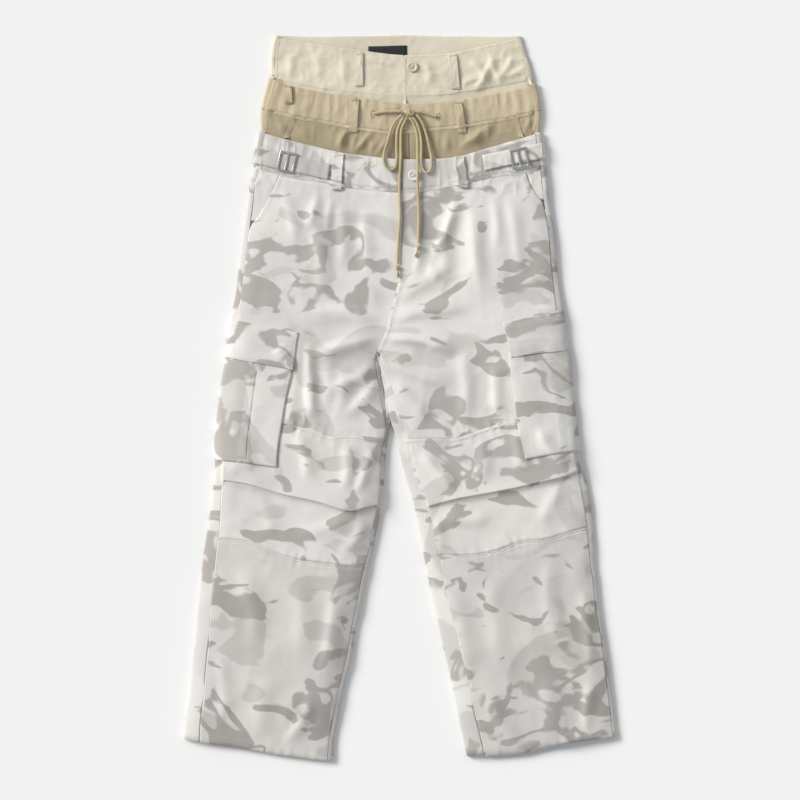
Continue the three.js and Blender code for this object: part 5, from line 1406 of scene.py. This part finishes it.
def stitch_nodes():
    """Stitches along lines: each a small rounded thread, laid along the line or turned across it."""
    tree = bpy.data.node_groups.new("stitches", "GeometryNodeTree")
    face = tree.interface
    face.new_socket("Geometry", in_out="INPUT", socket_type="NodeSocketGeometry")
    for name, value in (("Pitch", 3.4 * MM), ("Long", 2.6 * MM), ("Thick", 0.5 * MM), ("Turn", 0.0)):
        face.new_socket(name, in_out="INPUT", socket_type="NodeSocketFloat").default_value = value
    face.new_socket("Thread", in_out="INPUT", socket_type="NodeSocketMaterial")
    face.new_socket("Geometry", in_out="OUTPUT", socket_type="NodeSocketGeometry")
    n = Nodes(tree)
    source, out = n.add("NodeGroupInput"), n.add("NodeGroupOutput")
    lines = n.add("GeometryNodeMeshToCurve", {"Mesh": source.outputs["Geometry"]})
    spaced = n.add("GeometryNodeResampleCurve", {
        "Curve": lines.outputs["Curve"], "Length": source.outputs["Pitch"],
    }, mode="LENGTH")
    ball = n.add("GeometryNodeMeshUVSphere", {"Segments": 6, "Rings": 4, "Radius": 0.5})
    size = n.add("ShaderNodeCombineXYZ", {
        "X": source.outputs["Long"], "Y": source.outputs["Thick"], "Z": source.outputs["Thick"],
    })
    turn = n.add("ShaderNodeCombineXYZ", {"Z": source.outputs["Turn"]})
    turned = n.add("FunctionNodeEulerToRotation", {"Euler": turn.outputs["Vector"]})
    thread = n.add("GeometryNodeTransform", {
        "Geometry": ball.outputs["Mesh"], "Scale": size.outputs["Vector"],
    })
    laid = n.add("GeometryNodeTransform", {
        "Geometry": thread.outputs["Geometry"], "Rotation": turned.outputs["Rotation"],
    })
    tangent = n.add("GeometryNodeInputTangent")
    aim = n.add("FunctionNodeAlignRotationToVector", {"Vector": tangent.outputs["Tangent"]}, axis="X", pivot_axis="Z")
    placed = n.add("GeometryNodeInstanceOnPoints", {
        "Points": spaced.outputs["Curve"], "Instance": laid.outputs["Geometry"],
        "Rotation": aim.outputs["Rotation"],
    })
    real = n.add("GeometryNodeRealizeInstances", {"Geometry": placed.outputs["Instances"]})
    dyed = n.add("GeometryNodeSetMaterial", {
        "Geometry": real.outputs["Geometry"], "Material": source.outputs["Thread"],
    })
    n.put(out, "Geometry", dyed.outputs["Geometry"])
    return tree


STITCHES = stitch_nodes()


def sew(name, lines, thread, pitch=3.4, long=2.6, thick=0.5, turn=0.0):
    """Stitches along lines, as one plain mesh."""
    points, edges = [], []
    for line in lines:
        start = len(points)
        points.extend((p + Vector((0, 0, 0.12))) * MM for p in line)
        edges.extend((start + i, start + i + 1) for i in range(len(line) - 1))
    mesh = bpy.data.meshes.new(name)
    mesh.from_pydata(points, edges, [])
    piece = new_object(name, mesh)
    mesh.materials.append(thread)
    modifier = piece.modifiers.new("stitches", "NODES")
    modifier.node_group = STITCHES
    values = {"Pitch": pitch * MM, "Long": long * MM, "Thick": thick * MM, "Turn": turn, "Thread": thread}
    for item in STITCHES.interface.items_tree:
        if item.in_out == "INPUT" and item.name in values:
            modifier[item.identifier] = values[item.name]
    evaluated = piece.evaluated_get(bpy.context.evaluated_depsgraph_get())
    finished = bpy.data.meshes.new_from_object(evaluated)
    piece.modifiers.clear()
    piece.data = finished
    bpy.data.meshes.remove(mesh)
    finished.shade_smooth()
    return piece


def bar_line(x, y, turn, length):
    angle = math.radians(turn)
    reach = np.array([math.cos(angle), math.sin(angle)]) * length / 2
    return straight_line([np.array([x, y]) - reach, np.array([x, y]) + reach], 1.2)


def ring_line(x, y, half_wide, half_high):
    angles = np.linspace(0, 2 * math.pi, 25)
    return np.stack([x + half_wide * np.cos(angles), y + half_high * np.sin(angles)], 1)


def sewing(surface):
    threads = {"tan": TAN_THREAD, "cream": CREAM_THREAD}
    for name, rows in SEWN.items():
        thread = threads.get(name.split("_")[0], PALE_THREAD)
        lines = [surface.drape(line_of(line, off, start, end)) for line, off, start, end in rows]
        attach(sew(name, lines, thread), "root")
    for name, bars in BARS.items():
        thread = threads.get(name.split("_")[0], PALE_THREAD)
        lines = [surface.drape(bar_line(*bar)) for bar in bars]
        lines += [surface.drape(ring_line(*hole)) for hole in BUTTONHOLES.get(name, [])]
        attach(sew(name, lines, thread, 0.75, 2.3, 0.6, math.pi / 2), "root")


def seam_rolls(surface, pieces):
    for i, (name, low, high, raise_by, piece, start, end) in enumerate(SEAM_ROLLS):
        colour = pieces[piece].data.materials[0]
        line = line_of(name, 0.0, start, end)
        roll = seam_roll(f"seam_{name}_{i}", surface, line, low, high, raise_by, colour, SEAM_SECTION)
        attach(roll, "root")
    for name, piece, start, end in ALLOWANCES:
        colour = pieces[piece].data.materials[0]
        line = line_of(name, 0.0, start, end)
        strip = seam_roll(f"allowance_{name}", surface, line, -ALLOWANCE_WIDE, ALLOWANCE_WIDE, 1.0, colour,
                          ALLOWANCE_SECTION, 4 if name == "fork" else 0.01, reach=0.3)
        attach(strip, "root")
    for name, points, wide, raise_by, piece in PLEATS:
        colour = pieces[piece].data.materials[0]
        line = smooth_line(points)
        fold = seam_roll(f"seam_{name}", surface, line, 0.0, wide, raise_by, colour, PLEAT_SECTION, 4)
        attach(fold, "root")


def bag_corners(pieces):
    """The corner of each pocket bag, seen through the end of the slanted opening."""
    for side, (left, right, foot, top, height) in BAG_CORNERS.items():
        steps = 8
        bm = bmesh.new()
        grids = []
        for sunk in (0.0, 0.8):
            grid = []
            for i in range(steps + 1):
                row = []
                for j in range(steps + 1):
                    x = left + (right - left) * i / steps
                    y = foot + (top - foot) * j / steps
                    lift = float(puff(np.array([x]), np.array([y]))[0])
                    row.append(bm.verts.new(Vector((x, y, height + lift * 0.8 - sunk)) * MM))
                grid.append(row)
            grids.append(grid)
        upper, lower = grids
        for i in range(steps):
            for j in range(steps):
                bm.faces.new((upper[i][j], upper[i + 1][j], upper[i + 1][j + 1], upper[i][j + 1]))
                bm.faces.new((lower[i][j], lower[i][j + 1], lower[i + 1][j + 1], lower[i + 1][j]))
        for i in range(steps):
            for j, turn in ((0, 1), (steps, -1)):
                quad = (upper[i][j], lower[i][j], lower[i + 1][j], upper[i + 1][j])
                bm.faces.new(quad[::turn])
                quad = (upper[j][i + 1], lower[j][i + 1], lower[j][i], upper[j][i])
                bm.faces.new(quad[::turn])
        bmesh.ops.recalc_face_normals(bm, faces=bm.faces)
        mesh = bpy.data.meshes.new(f"pocket_bag_corner_{side}")
        bm.to_mesh(mesh)
        bm.free()
        mesh.materials.append(pieces[f"camo_hand_pocket_{side}"].data.materials[0])
        piece = new_object(f"pocket_bag_corner_{side}", mesh)
        shade(mesh, 60)
        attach(piece, "root")


stage()
drawstring()
CLOTH = all_cloth()
declare_sheets(CLOTH)
PALE_PLASTIC = simple("pale button", "#d4d2ca", "#dcdad3", 0.42, bump=0.1)
CREAM_PLASTIC = simple("cream button", "#c4bc9f", "#cfc7ab", 0.42, bump=0.1)
PALE_THREAD = simple("pale thread", "#cfccc6", "#dbd8d2", 0.85)
CREAM_THREAD = simple("cream thread", "#cdc4aa", "#d8d0b8", 0.85)
TAN_THREAD = simple("tan thread", "#ab9c7c", "#b9ab8c", 0.85)
NICKEL = simple("satin nickel", "#b4b4b2", "#c6c6c4", 0.34, 1.0)
button("fly_button", 21, 355, 9, 10.95, "camo", PALE_PLASTIC, PALE_THREAD)
button("cream_button", 18, 528, 8.5, 6.8, "cream", CREAM_PLASTIC, CREAM_THREAD)
buckle("left", NICKEL)
buckle("right", NICKEL)
bag_corners(CLOTH)
seam_rolls(TopSurface(CLOTH.values()), CLOTH)
sewing(TopSurface([piece for piece in bpy.data.objects if piece.name.startswith("seam_")] + list(CLOTH.values())))
